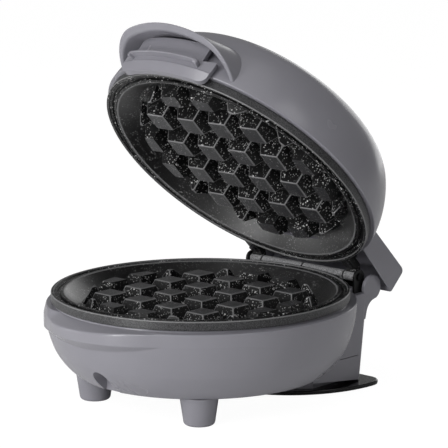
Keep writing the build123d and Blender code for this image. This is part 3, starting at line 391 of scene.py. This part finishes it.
def speckled_coat(name, base, flecked, low, high, shine=0.5, ior=1.5, depth=0.00008):
    """Black non-stick with white mineral flecks, and a fine sparkle under raking light."""
    made, tree, shader = new_paint(name, low, specular=shine, ior=ior)
    grained(tree, shader, 3000.0, depth, low, high)
    flecks = add(tree, "ShaderNodeGroup", node_tree=mineral_flecks, Amount=flecked)
    colour = blended(tree, flecks.outputs["Flecks"], base, shade(250, 250, 250))
    tree.links.new(colour, shader.inputs["Base Color"])
    return made


def grainy_coat(name, dark, light):
    """Grainy satin coat between two colours: the rubbed coat on the knuckles, and round the rim's side a
    lighter grey grain that paints the sheen of reflections.
    """
    made, tree, shader = new_paint(name, 0.36)
    grain = grained(tree, shader, 2400.0, 0.00008, 0.3, 0.42)
    contrast = spread(tree, grain.outputs["Height"], 0.36, 0.66)
    tree.links.new(blended(tree, contrast, dark, light), shader.inputs["Base Color"])
    return made


nonstick = speckled_coat("speckled_nonstick", shade(7, 7, 8), 1.0, 0.3, 0.4, 0.3)
wall_coat = speckled_coat("dish_wall_coat", shade(6, 6, 7), 0.35, 0.3, 0.38, 1.0, 1.62, 0.00005)
tip_coat = speckled_coat("block_tip_coat", shade(44, 44, 46), 0.35, 0.36, 0.46)
# Light grey for the rounded edges of the blocks and the rims' top edges: a painted highlight along them.
edge_highlight_coat = speckled_coat("painted_edge_highlight_coat", shade(112, 112, 113), 0.2, 0.3, 0.4)
worn_coat = grainy_coat("grainy_coat", shade(100, 100, 101), shade(176, 176, 178))
# The rim's side: the grain is the coat's own, but its lighter grey is painted sheen in place of
# reflections.
rim_sheen_coat = grainy_coat("rim_side_painted_sheen", shade(8, 8, 9), shade(76, 76, 78))
plate_coats = [nonstick, tip_coat, edge_highlight_coat, rim_sheen_coat, wall_coat]

plate_section = [
    (0, FLOOR_Z, 0), (WALL_FOOT_R, FLOOR_Z, 1.2), (WALL_TOP_R, INNER_RIM_TOP, 0.5),
    (58.2, INNER_RIM_TOP, 0.5), (58.2, 44.4, 0.3), (59.5, 44.4, 0.3), (59.5, 45.3, 0.3),
    (OUTER_RIM_R, 45.3, 0.25), (OUTER_RIM_R, RIM_TOP, 0.3), (PLATE_R, RIM_TOP, 0.5), (PLATE_R, 42.3, 0.4),
    (59.3, 42.3, 0.2), (59.3, 40.7, 0.4), (51.5, UNDER_Z, 0.6), (0, UNDER_Z, 0)]


def block(x, y):
    """One tapered block, cut where the round floor ends, with soft edges."""
    bm = bmesh.new()
    bmesh.ops.create_cube(bm, size=1.0)
    low, high = FLOOR_Z - BLOCK_SUNK, FLOOR_Z + BLOCK_HEIGHT
    bmesh.ops.scale(bm, verts=bm.verts[:], vec=(BLOCK_FOOT / 1000, BLOCK_FOOT / 1000, (high - low) / 1000))
    tips = [v for v in bm.verts if v.co.z > 0]
    bmesh.ops.scale(bm, verts=tips, vec=(BLOCK_TIP / BLOCK_FOOT, BLOCK_TIP / BLOCK_FOOT, 1))
    bmesh.ops.translate(bm, verts=bm.verts[:], vec=(x / 1000, y / 1000, (low + high) / 2000))
    draft = math.atan2(CUT_DRAFT, BLOCK_HEIGHT)
    middle = math.atan2(y, x)
    for step in range(-6, 7):
        angle = middle + math.radians(3.5 * step)
        out = Vector((math.cos(angle), math.sin(angle), 0))
        edge_point = out * GRID_R / 1000 + Vector((0, 0, FLOOR_Z / 1000))
        normal = out * math.cos(draft) + Vector((0, 0, math.sin(draft)))
        if all((v.co - edge_point).dot(normal) < 1e-6 for v in bm.verts):
            continue
        sliced(bm, edge_point, normal, clear_outer=True)
        if not bm.faces:
            return bm
    bmesh.ops.recalc_face_normals(bm, faces=bm.faces[:])
    ridges = [e for e in bm.edges if len(e.link_faces) == 2 and e.calc_face_angle(0) > math.radians(25)
              and max(v.co.z for v in e.verts) > (FLOOR_Z + 0.5) / 1000]
    # The rounded edges are given the light grey of the painted highlight.
    for f in softened(bm, ridges, BLOCK_EDGE):
        f.material_index = EDGE_HIGHLIGHT
    for f in bm.faces:
        if f.normal.z > 0.995:
            f.material_index = TIP_COAT
        elif max(v.co.z for v in f.verts) < (high - 0.9) / 1000:
            f.material_index = FLOOR_COAT
    return bm


def block_grid():
    """All the blocks that the round floor has room for."""
    places = [BLOCK_PITCH * (step + 0.5) for step in range(-3, 3)]
    return [block(x, y) for x in places for y in places if math.hypot(x, y) <= GRID_R + LEAST_BLOCK]


def plate_dish():
    """The dish with its double rim; the rims' top edges get a painted highlight in light grey, and the
    rim's side a lighter grey grain that paints its sheen.
    """
    bm = spun(plate_section, 192)
    for f in bm.faces:
        middle = f.calc_center_median()
        radius, height = math.hypot(middle.x, middle.y) * 1000, middle.z * 1000
        inner_edge = WALL_TOP_R - 0.4 < radius < WALL_TOP_R + 0.3
        outer_edge = OUTER_RIM_R - 0.05 < radius < OUTER_RIM_R + 0.2
        side = radius > PLATE_R - 0.4
        wall = WALL_FOOT_R + 0.4 < radius < WALL_TOP_R - 0.3
        # Painted highlight on the rims' top edges; painted sheen, a lighter grey grain, on the rim's side.
        if height > INNER_RIM_TOP - 0.3 and (inner_edge or outer_edge or side):
            f.material_index = EDGE_HIGHLIGHT
        elif side:
            f.material_index = RIM_SHEEN
        elif wall and height > FLOOR_Z + 0.3:
            f.material_index = WALL_COAT
    return bm


def knuckle(x0, x1):
    """Barrel of the hinge, on the pin's axis."""
    bm = bmesh.new()
    bmesh.ops.create_cone(bm, cap_ends=True, segments=32, radius1=KNUCKLE_R / 1000,
                          radius2=KNUCKLE_R / 1000, depth=(x1 - x0) / 1000)
    softened(bm, [e for e in bm.edges if abs(e.verts[0].co.z - e.verts[1].co.z) < 1e-6], 0.2, 2)
    bmesh.ops.rotate(bm, verts=bm.verts[:], cent=(0, 0, 0), matrix=Matrix.Rotation(math.pi / 2, 3, "Y"))
    bmesh.ops.translate(bm, verts=bm.verts[:], vec=((x0 + x1) / 2000, HINGE_Y / 1000, HINGE_Z / 1000))
    return bm


def flipped(bm):
    """The upper plate's twin of a lower shape, mirrored in the parting plane."""
    bmesh.ops.translate(bm, verts=bm.verts[:], vec=(0, 0, -PARTING / 1000))
    bmesh.ops.scale(bm, verts=bm.verts[:], vec=(1, 1, -1))
    bmesh.ops.translate(bm, verts=bm.verts[:], vec=(0, 0, PARTING / 1000))
    bmesh.ops.reverse_faces(bm, faces=bm.faces[:])
    return bm


def ended_in_rim(bm):
    """Ends a lug or an arm inside the plate's outer rim, on the side it is on."""
    x = sum(v.co.x for v in bm.verts) / len(bm.verts)
    reach = LUG_END_R / 1000
    out = Vector((x, math.sqrt(reach * reach - x * x), 0)).normalized()
    sliced(bm, out * reach, out, clear_inner=True)
    return bm


inner_knuckles = ((-23.1, -0.4), (0.4, 23.1))
outer_knuckles = ((-30.0, -23.9), (23.9, 30.0))
lug_side = [(56, 42.6, 0), (64.4, 42.9, 0), (64.4, 44.8, 0), (56, 44.8, 0)]
arm_side = [(50, 46.8, 0), (62.0, 46.8, 0.4), (63.3, 44.0, 0.6), (66.5, 45.0, 0.9), (65.7, 47.6, 0.8),
            (62.2, 50.4, 0.8), (50, 50.4, 0)]

lower_parts = [plate_dish()] + block_grid()
for x0, x1 in inner_knuckles:
    lower_parts.append(ended_in_rim(slab(lug_side, x0 + 1.2, x1 - 1.2, 0.2)))
placed("lower_cooking_plate", joined(lower_parts), "base", plate_coats, ["lower_plate"])
placed("lower_knuckles", joined([knuckle(*ends) for ends in inner_knuckles]), "base", worn_coat)

upper_parts = [flipped(bm) for bm in [plate_dish()] + block_grid()]
for x0, x1 in ((-29.8, -24.4), (24.4, 29.8)):
    upper_parts.append(ended_in_rim(slab(arm_side, x0, x1, 0.3)))
placed("upper_cooking_plate", joined(upper_parts), "lid", plate_coats, ["upper_plate"])
placed("upper_knuckles", joined([knuckle(*ends) for ends in outer_knuckles]), "lid", worn_coat)


# Base housing: the bowl with its crescent finger ledge, the rear block and its two ears, all one
# moulding in satin grey plastic. A small arched notch is left at the foot of the bowl in front.

BOWL_R = 64.8
LIP_Z = 41.5
LIP_IN_R = 61.3
LEDGE_LOW_Z = 28.6
HORN_Y = 19.79
HORN_R = 48.2
REAR_TOP = 38.4
REAR_TOP_HALF = 34.0
REAR_TOP_Y = 68.2
REAR_FOOT_HALF = 36.0
REAR_FOOT_Y = 60.8
REAR_RAISED = 2.1
REAR_WALL = 2.2
EAR_Y = 70.2
EAR_Z = 40.0
EAR_R = 5.5


def bend_through(a, b, c, count):
    """Points of the arc from a through b to c, without a itself."""
    (ax, ay), (bx, by), (cx, cy) = a, b, c
    d = 2 * (ax * (by - cy) + bx * (cy - ay) + cx * (ay - by))
    a2, b2, c2 = ax * ax + ay * ay, bx * bx + by * by, cx * cx + cy * cy
    ux = (a2 * (by - cy) + b2 * (cy - ay) + c2 * (ay - by)) / d
    uy = (a2 * (cx - bx) + b2 * (ax - cx) + c2 * (bx - ax)) / d
    start = math.atan2(ay - uy, ax - ux)
    sweep = math.atan2(cy - uy, cx - ux) - start
    through = math.atan2(by - uy, bx - ux) - start
    sweep = (sweep + math.pi) % math.tau - math.pi
    through = (through + math.pi) % math.tau - math.pi
    if sweep * through < 0:
        sweep -= math.copysign(math.tau, sweep)
    radius = math.hypot(ax - ux, ay - uy)
    turns = [start + sweep * i / count for i in range(1, count + 1)]
    return [(ux + radius * math.cos(angle), uy + radius * math.sin(angle)) for angle in turns]


def between(x, xs, ys):
    """Value at x on a line through points, level past its ends."""
    if x <= xs[0]:
        return ys[0]
    for x0, x1, y0, y1 in zip(xs, xs[1:], ys, ys[1:]):
        if x <= x1:
            return y0 + (y1 - y0) * (x - x0) / (x1 - x0)
    return ys[-1]


foot_curve = [(51.5, 12.0)] + bend_through((51.5, 12.0), (56.8, 16.8), (60.7, 22.5), 12)
side_curve = [(60.7, 22.5)] + bend_through((60.7, 22.5), (63.3, 30.0), (BOWL_R, LIP_Z), 40)


def wall_at(height):
    """Radius of the bowl's plain wall at a height."""
    return between(height, [z for r, z in side_curve], [r for r, z in side_curve])


def ledge_corners(around):
    """Corners of the bowl's top at an angle from the front: fade, ledge foot, ledge edge and lip.

    The ledge is a round horn in front, and on its left it runs on as a narrow collar.
    """
    along = HORN_Y * math.cos(math.radians(around))
    horn = along + math.sqrt(along * along + HORN_R ** 2 - HORN_Y ** 2) if abs(around) < 60 else 0.0
    collar = between(around, (-66, -56, -20, -8), (63.6, 65.05, 65.05, 63.6))
    foot_z = between(around, (-66, -47, -17, 4, 26, 40), (31.0, 31.4, 34.2, 35.2, 36.0, 36.0))
    edge_z = between(around, (-66, -47, -17, 4, 17, 26), (37.0, 37.3, 38.6, 39.8, 40.9, LIP_Z - 0.5))
    edge = max(horn, collar, wall_at(edge_z) + 0.02)
    foot = max(horn, collar, wall_at(foot_z) + 0.02)
    fade_z = foot_z - 0.3 - 0.9 * max(0.0, foot - wall_at(foot_z))
    lip = between(around, (-72, -60, -31, -25, 20, 30), (64.6, 63.95, 63.95, 61.6, 61.6, 64.4))
    return [(wall_at(fade_z), fade_z), (foot, foot_z), (edge, edge_z), (lip, LIP_Z), (LIP_IN_R, LIP_Z)]


# The bowl's top is divided into rows, more of them where the ledge's corners will be. A row keeps
# its place in the plain bowl, its stretch, named for the corner that ends it, and its share of it.
outer = foot_curve + [(r, z) for r, z in side_curve if 22.6 < z < LEDGE_LOW_Z - 0.2]
rows = []
FADE, FOOT, EDGE, LIP, LIP_IN, ROUNDING = range(6)
stretches = (
    (FADE, LEDGE_LOW_Z, 31.7, (0.0, 0.2, 0.4, 0.6, 0.8, 0.94)),
    (FOOT, 31.7, 33.9, (0.06, 0.25, 0.5, 0.75, 0.94)),
    (EDGE, 33.9, 39.3, (0.03, 0.08, 0.3, 0.5, 0.7, 0.86)),
    (ROUNDING, 38.55, 39.55, (0.25, 0.5, 0.75)),
    (LIP, 39.3, LIP_Z, (0.12, 0.3, 0.5, 0.7, 0.9)),
    (LIP_IN, LIP_Z, LIP_Z, (0.1, 0.3, 0.6)))
for stretch, low, high, shares in stretches:
    for share in shares:
        height = low + (high - low) * share
        radius = BOWL_R - (BOWL_R - LIP_IN_R) * share if stretch == LIP_IN else wall_at(height)
        outer.append((radius, height))
        rows.append((radius, height, stretch, share))


def crescent(bm):
    """Draws the bowl's top out into the ledge, row by row, by the angle round the bowl."""
    for v in bm.verts:
        plain = (math.hypot(v.co.x, v.co.y) * 1000, v.co.z * 1000)
        row = min(rows, key=lambda one: math.dist(one[:2], plain))
        if math.dist(row[:2], plain) > 0.004:
            continue
        stretch, share = row[2:]
        around = math.degrees(math.atan2(v.co.x, -v.co.y))
        corners = [Vector(one) for one in [(0.0, LEDGE_LOW_Z)] + ledge_corners(around)]
        if stretch == ROUNDING:
            start, end = corners[2].lerp(corners[3], 0.86), corners[3].lerp(corners[4], 0.12)
            radius, height = start.lerp(corners[3], share).lerp(corners[3].lerp(end, share), share)
        else:
            radius, height = corners[stretch].lerp(corners[stretch + 1], share)
        if stretch == FADE:
            radius = wall_at(height)
        moved = between(abs(around), (60, 78), (1.0, 0.0))
        radius, height = plain[0] + (radius - plain[0]) * moved, plain[1] + (height - plain[1]) * moved
        turned = math.radians(around)
        v.co = Vector((radius * math.sin(turned), -radius * math.cos(turned), height)) / 1000


def carved(bm, cutters):
    """Takes other solids out of a mesh."""
    made = []
    for name, shape in (("blank", bm), ("cutter", joined(cutters))):
        mesh = bpy.data.meshes.new(name)
        shape.to_mesh(mesh)
        shape.free()
        made.append(bpy.data.objects.new(name, mesh))
        bpy.context.scene.collection.objects.link(made[-1])
    blank, cutter = made
    cut = blank.modifiers.new("cut", "BOOLEAN")
    cut.operation = "DIFFERENCE"
    cut.solver = "EXACT"
    cut.object = cutter
    bpy.context.view_layer.update()
    ready = bpy.data.meshes.new_from_object(blank.evaluated_get(bpy.context.evaluated_depsgraph_get()))
    result = bmesh.new()
    result.from_mesh(ready)
    for piece in made:
        mesh = piece.data
        bpy.data.objects.remove(piece)
        bpy.data.meshes.remove(mesh)
    bpy.data.meshes.remove(ready)
    return result


bowl_section = [(49.3, 14.0, 0), (49.3, 12.0, 0)] + [(r, z, 0) for r, z in outer]
bowl_section[2] = (51.5, 12.0, 0.5)
bowl_section += [(LIP_IN_R, LIP_Z, 0), (LIP_IN_R, 42.25, 0), (60.0, 42.25, 0), (60.0, 36.0, 0),
                 (57.5, 30.0, 0), (54.5, 26.0, 0), (49.5, 22.0, 0), (48.6, 14.0, 0)]

NOTCH_R = 4.4
NOTCH_Z = 17.0
arch = [(NOTCH_R * math.cos(math.radians(a)), NOTCH_Z + NOTCH_R * math.sin(math.radians(a)), 0)
        for a in range(0, 181, 10)]
notch = section([(NOTCH_R, 8.0, 0)] + arch + [(-NOTCH_R, 8.0, 0)])
bmesh.ops.translate(notch, verts=notch.verts[:], vec=(0, -0.0506, 0))
drawn_out(notch, (0, -0.02, 0))
gap_side = [(63.37, 38.43, 0), (75.1, 38.43, 0), (75.1, 50.1, 0), (63.37, 50.1, 0)]
bowl = carved(spun(bowl_section, 288), [notch, slab(gap_side, -31.46, 31.46, 0)])
crescent(bowl)
bmesh.ops.recalc_face_normals(bowl, faces=bowl.faces[:])


def rear_block():
    """Box that widens and leans out to its foot, open below and in front, with rounded rear corners."""
    bm = bmesh.new()
    bmesh.ops.create_cube(bm, size=1.0)
    for v in bm.verts:
        top = (REAR_TOP_HALF, REAR_TOP_Y, REAR_TOP)
        half, wall_y, height = top if v.co.z > 0 else (REAR_FOOT_HALF, REAR_FOOT_Y, 0.0)
        v.co = Vector((math.copysign(half, v.co.x), wall_y if v.co.y > 0 else 30.0, height)) / 1000
    posts = [e for e in bm.edges if min(v.co.y for v in e.verts) > 0.05
             and abs(e.verts[0].co.z - e.verts[1].co.z) > 0.01]
    softened(bm, posts, 3.0, 6)
    top_rim = [e for f in bm.faces if f.normal.z > 0.9 for e in f.edges
               if max(v.co.y for v in e.verts) > 0.031]
    softened(bm, top_rim, 0.6)
    lift = math.radians(7)
    sliced(bm, (0, REAR_FOOT_Y / 1000, REAR_RAISED / 1000), (0, math.sin(lift), math.cos(lift)),
           closed=False, clear_inner=True)
    open_sides = [f for f in bm.faces if f.normal.y < -0.9 or f.normal.z < -0.9]
    bmesh.ops.delete(bm, geom=open_sides, context="FACES")
    bmesh.ops.solidify(bm, geom=bm.faces[:], thickness=REAR_WALL / 1000)
    bmesh.ops.recalc_face_normals(bm, faces=bm.faces[:])
    return bm


slot_side = [(47.5, 12.65, 0), (59.0, 12.65, 0), (59.0, 12.95, 0), (47.5, 12.95, 0)]
rear = carved(rear_block(), [slab(slot_side, -37.0, -34.6, 0), slab(slot_side, 34.6, 37.0, 0)])

ear_side = [(EAR_Y + EAR_R * math.cos(math.radians(a)), EAR_Z + EAR_R * math.sin(math.radians(a)), 0)
            for a in range(180, -65, -12)]
ear_side += [(y, z, 0) for y, z in bend_through((72.6, 35.05), (68.8, 33.7), (66.7, 30.6), 6)]
ear_side += [(65.8, 27.0, 0), (64.7, 27.0, 0)]
pad_side = [(57.8, 36, 0), (57.8, 40.9, 0.4), (63.35, 40.9, 0.4), (63.35, 36, 0)]
base_parts = [bowl, rear]
for side in (-1, 1):
    base_parts.append(slab(ear_side, *sorted((side * 32.2, side * 34.0)), 0.5))
    base_parts.append(slab(pad_side, *sorted((side * 24.5, side * 30.2)), 0.35))


def moulded_grey():
    """Satin grey plastic: even colour, a very fine moulded grain and faint clouds in the gloss."""
    made, tree, shader = new_paint("satin_grey", 0.24)
    grain = grained(tree, shader, 2600.0, 0.000004, 0.2, 0.28)
    colour = blended(tree, grain.outputs["Cloud"], shade(130, 129, 136), shade(138, 137, 144))
    tree.links.new(colour, shader.inputs["Base Color"])
    return made


satin_grey = moulded_grey()
placed("base_shell", joined(base_parts), "base", satin_grey, ["lower_housing"])


# Front feet: two tapered grey plastic posts with rounded toes, screwed to the bottom from inside.
# They and the flange at the rear are the three points that the base stands on.

FOOT_X = 30.005
FOOT_Y = -32.402
FOOT_TOE_R = 6.25
FOOT_TOP_R = 8.0
FOOT_HEIGHT = 12.0

for side, foot_name in ((-1, "front_foot_left"), (1, "front_foot_right")):
    foot = spun([(0, 0, 0), (FOOT_TOE_R, 0, 1.3), (FOOT_TOP_R, FOOT_HEIGHT, 0.3), (0, FOOT_HEIGHT, 0)], 64)
    bmesh.ops.translate(foot, verts=foot.verts[:], vec=(side * FOOT_X / 1000, FOOT_Y / 1000, 0))
    placed("post_" + foot_name, foot, "base", satin_grey, [foot_name])


# Cord wrap flange: a flat gloss black plastic plate under the rear block, round in front and with
# two rounded rear corners. It is screwed on under the block, and is the base's third point.

FLANGE_HALF = 41.8
FLANGE_REACH = 46.0
FLANGE_REAR_Y = 68.8
FLANGE_THICK = 1.8

flange_edge = [(FLANGE_HALF * math.cos(math.radians(a)),
                REAR_FOOT_Y + FLANGE_REACH * math.sin(math.radians(a)), 0) for a in range(180, 361, 4)]
flange = section(flange_edge + [(FLANGE_HALF, FLANGE_REAR_Y, 6.5), (-FLANGE_HALF, FLANGE_REAR_Y, 6.5)])
laid_flat = Matrix.Rotation(-math.pi / 2, 3, "X")
bmesh.ops.rotate(flange, verts=flange.verts[:], cent=(0, 0, 0), matrix=laid_flat)
for v in flange.verts:
    v.co.y = abs(v.co.y)
drawn_out(flange, (0, 0, FLANGE_THICK / 1000))
softened(flange, [e for f in flange.faces if abs(f.normal.z) > 0.9 for e in f.edges], 0.5)


def gloss_black():
    """Polished black plastic with faint handling marks in its gloss."""
    made, tree, shader = new_paint("gloss_black", 0.15)
    grained(tree, shader, 900.0, 0.000002, 0.1, 0.24)
    shader.inputs["Base Color"].default_value = shade(16, 16, 17)
    return made


placed("cord_flange", flange, "base", gloss_black(), ["cord_wrap_flange"])


# Lid: the dome with a low cap and a shallow crease round it, and the box over the hinge,
# one moulding in the same satin grey plastic as the base. The upper plate is screwed into it.

RIM_OUT = (63.7, 50.7)
SHOULDER = (57.1, 72.9)
CREASE = (41.9, 81.7)
COVER_HALF = 36.6
COVER_TOP = 62.3
COVER_REAR_Y = 81.0

dome_out = [RIM_OUT] + bend_through(RIM_OUT, (61.5, 63.5), SHOULDER, 14)
dome_out += bend_through(SHOULDER, (50.6, 79.0), CREASE, 14)
dome_out += bend_through(CREASE, (20.95, 84.18), (0.0, 85.0), 14)
dome_section = [(r, z, 0) for r, z in dome_out]
dome_section[0] = (*RIM_OUT, 0.5)
dome_section += [(0, 82.8, 0), (20.5, 82.0, 0), (41.0, 79.6, 0), (49.0, 77.2, 0), (54.9, 72.2, 0),
                 (59.3, 63.5, 0), (61.5, 52.9, 0), (60.0, 52.9, 0), (60.0, 50.55, 0), (61.3, 50.55, 0),
                 (61.3, 50.7, 0)]
dome = spun(dome_section, 256)

cover_side = [(50, 51.74, 0), (COVER_REAR_Y, 49.9, 1.2), (COVER_REAR_Y, COVER_TOP, 2.4), (50, COVER_TOP, 0)]
cover = slab(cover_side, -COVER_HALF, COVER_HALF, 0.9)
bmesh.ops.delete(cover, geom=[f for f in cover.faces if f.normal.z < -0.9], context="FACES")
bmesh.ops.solidify(cover, geom=cover.faces[:], thickness=0.002)
bmesh.ops.recalc_face_normals(cover, faces=cover.faces[:])
placed("lid_shell", joined([dome, cover]), "lid", satin_grey, ["lid_housing"])


# Handle hood: an arched grey plastic roof that the fingers pull against, moulded with a thick
# rounded rim and thin legs, and seated on the front of the dome.

HOOD_TIP = 77.0
HOOD_CREST = 62.0
HOOD_WALL = 3.3
HOOD_END = 53.0
HOOD_SPARE = 8.0
rise = math.tan(math.radians(24.9))


def hood_outline(inset):
    """Front view of the arch from its left foot to its right one."""
    bend = (20.0 - inset * 0.3, 58.8 - inset * 0.95)
    side = (28.3 - inset * 0.7, 52.9 - inset * 0.5)
    foot = (31.4 - inset / 2, 41.8)
    left = [(-foot[0], 38.0), (-foot[0], foot[1])]
    left += bend_through((-foot[0], foot[1]), (-side[0], side[1]), (-bend[0], bend[1]), 12)
    left += bend_through((-bend[0], bend[1]), (0.0, HOOD_CREST - inset), bend, 20)
    return left + bend_through(bend, side, foot, 12) + [(foot[0], 38.0)]


hood = section([(x, z, 0) for x, z in hood_outline(0) + hood_outline(HOOD_WALL)[::-1]])
hood_front = Vector((0, -(HOOD_TIP + HOOD_SPARE), -HOOD_SPARE * rise)) / 1000
bmesh.ops.translate(hood, verts=hood.verts[:], vec=hood_front)
run = HOOD_TIP + HOOD_SPARE - HOOD_END
drawn_out(hood, (0, run / 1000, run * rise / 1000))
rim_place = Vector((0, -HOOD_TIP, HOOD_CREST)) / 1000
rim_fall = Vector((0, 10.0, 22.0)).normalized()
sliced(hood, rim_place, rim_fall, clear_inner=True)
bmesh.ops.recalc_face_normals(hood, faces=hood.faces[:])
hood_rim = [e for e in hood.edges if e.calc_face_angle(0) > 0.3
            and all(abs((v.co - rim_place).dot(rim_fall)) < 1e-6 for v in e.verts)]
softened(hood, hood_rim, 1.0, 4)
placed("grip_hood", hood, "lid", satin_grey, ["handle_hood"])


# Handle apron: a curved grey plastic panel under the hood with a thin ridge for the fingertips, a
# small stud at the ridge's end, and a skirt that covers the plates' edge. It is screwed on from
# inside the dome.

APRON_R = 66.6
APRON_STEP = 2.0
SKIRT_BEND_Z = 50.2
SKIRT_LEAN = 0.43
SKIRT_PROUD = 0.4
PANEL_THICK = 2.3
RIDGE_DEPTH = 4.0
RIDGE_PROUD = 3.0
STUD_R = 1.0


def round_the_lid(bm):
    """Rolls a flat strip, drawn along X at Y as depth, round the lid's front."""
    for v in bm.verts:
        radius = APRON_R / 1000 + v.co.y
        angle = v.co.x / (APRON_R / 1000)
        v.co = Vector((radius * math.sin(angle), -radius * math.cos(angle), v.co.z))
    return bm


def strip(points, depth, soft):
    """Front view of a strip, given thickness, its front rim rounded, and divided to be rolled."""
    bm = section(points)
    bmesh.ops.translate(bm, verts=bm.verts[:], vec=(0, -depth / 1000, 0))
    drawn_out(bm, (0, depth / 1000, 0))
    softened(bm, [e for f in bm.faces if f.normal.y > 0.99 for e in f.edges], soft)
    reach = max(abs(v.co.x) for v in bm.verts) * 1000
    x = APRON_STEP - reach
    while x < reach - 0.2:
        sliced(bm, (x / 1000, 0, 0), (1, 0, 0), closed=False)
        x += APRON_STEP
    return bm


panel_front = [(-24.6, 46.2, 3.6), (24.6, 46.2, 3.6), (25.2, 56.2, 0.6), (19, 54.8, 0.01),
               (19, 62.5, 0.7), (-19, 62.5, 0.7), (-19, 54.8, 0.01), (-25.2, 56.2, 0.6)]
panel = strip(panel_front, PANEL_THICK, 0.6)
for z in (47.6, 49.0, SKIRT_BEND_Z, SKIRT_BEND_Z + 1):
    sliced(panel, (0, 0, z / 1000), (0, 0, 1), closed=False)
for v in panel.verts:
    below = SKIRT_BEND_Z - v.co.z * 1000
    if below > 0:
        v.co.y += (SKIRT_PROUD - below * SKIRT_LEAN) / 1000
    elif below > -1:
        v.co.y += (below + 1) * SKIRT_PROUD / 1000
ridge_front = [(-18.8, 51.2, 0.4), (-17.7, 51.2, 0.4), (-17.4, 52.6, 0.4), (17.4, 52.6, 0.4),
               (17.7, 51.2, 0.4), (18.8, 51.2, 0.4), (18.8, 53.5, 0.8), (-18.8, 53.5, 0.8)]
ridge = strip(ridge_front, RIDGE_DEPTH, 0.3)
bmesh.ops.translate(ridge, verts=ridge.verts[:], vec=(0, RIDGE_PROUD / 1000, 0))
stud = bmesh.new()
bmesh.ops.create_uvsphere(stud, u_segments=24, v_segments=12, radius=STUD_R / 1000)
bmesh.ops.scale(stud, verts=stud.verts[:], vec=(1, 0.5, 1))
stud_place = Vector((17.6, 2.9, 52.4)) / 1000
bmesh.ops.translate(stud, verts=stud.verts[:], vec=stud_place)
apron = joined([round_the_lid(bm) for bm in (panel, ridge, stud)])
placed("grip_apron", apron, "lid", satin_grey, ["handle_apron"])


# Small fixings and the pieces inside: hinge pin and bracket, screws, bush, elements, reflectors,
# thermostat, fuse, terminals and clamp. Their solids stay, each in its own metal or plastic.


def worked_metal(name, colour, low, high, per_metre):
    """Bare or coated metal, rolled or turned, with a fine unevenness in its gloss."""
    made, tree, shader = new_paint(name, low, metallic=1.0)
    grained(tree, shader, per_metre, 0.000008, low, high)
    shader.inputs["Base Color"].default_value = colour
    return made


def plain_moulding(name, colour, low, high):
    """Matt plastic, rubber or paint with the grain of its mould or coat."""
    made, tree, shader = new_paint(name, low, specular=0.4)
    grained(tree, shader, 1500.0, 0.00001, low, high)
    shader.inputs["Base Color"].default_value = colour
    return made


zinc = worked_metal("zinc_plated", shade(168, 168, 170), 0.28, 0.42, 1400.0)
dark_screw = worked_metal("blackened_screw", shade(70, 70, 72), 0.3, 0.42, 1800.0)
# The hinge pin is coloured near black, a painted shade for the gaps between the knuckles.
pin_painted_shade = worked_metal("pin_black_painted_shade", shade(26, 26, 27), 0.3, 0.42, 1800.0)
bracket_black = plain_moulding("black_coated_sheet", shade(10, 10, 11), 0.4, 0.5)
element = worked_metal("element_sheath", shade(120, 118, 116), 0.45, 0.6, 900.0)
bright_sheet = worked_metal("rolled_aluminium", shade(196, 197, 198), 0.3, 0.45, 700.0)
cover_grey = plain_moulding("cover_grey", shade(118, 117, 124), 0.42, 0.52)
black_rubber = plain_moulding("black_rubber", shade(30, 30, 31), 0.6, 0.75)
cream = plain_moulding("cream_terminal", shade(205, 200, 184), 0.4, 0.5)
finishes = {
    "bottom_cover": cover_grey, "cord_wrap_core": satin_grey, "cord_bush": black_rubber,
    "cord_clamp": cream, "terminal_block": cream, "thermostat": zinc, "thermal_fuse": zinc,
    "hinge_pin": pin_painted_shade, "hinge_bracket": bracket_black, "arm_screws": dark_screw,
    "bracket_screws": dark_screw, "flange_screws": dark_screw, "foot_screws": zinc,
    "lower_plate_screws": zinc, "upper_reflector_screws": zinc, "handle_screws": zinc,
    "lower_heater": element, "upper_heater": element, "lower_reflector": bright_sheet,
    "upper_reflector": bright_sheet,
}
for name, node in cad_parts.items():
    node.data.materials.clear()
    node.data.materials.append(finishes.get(name, satin_grey))
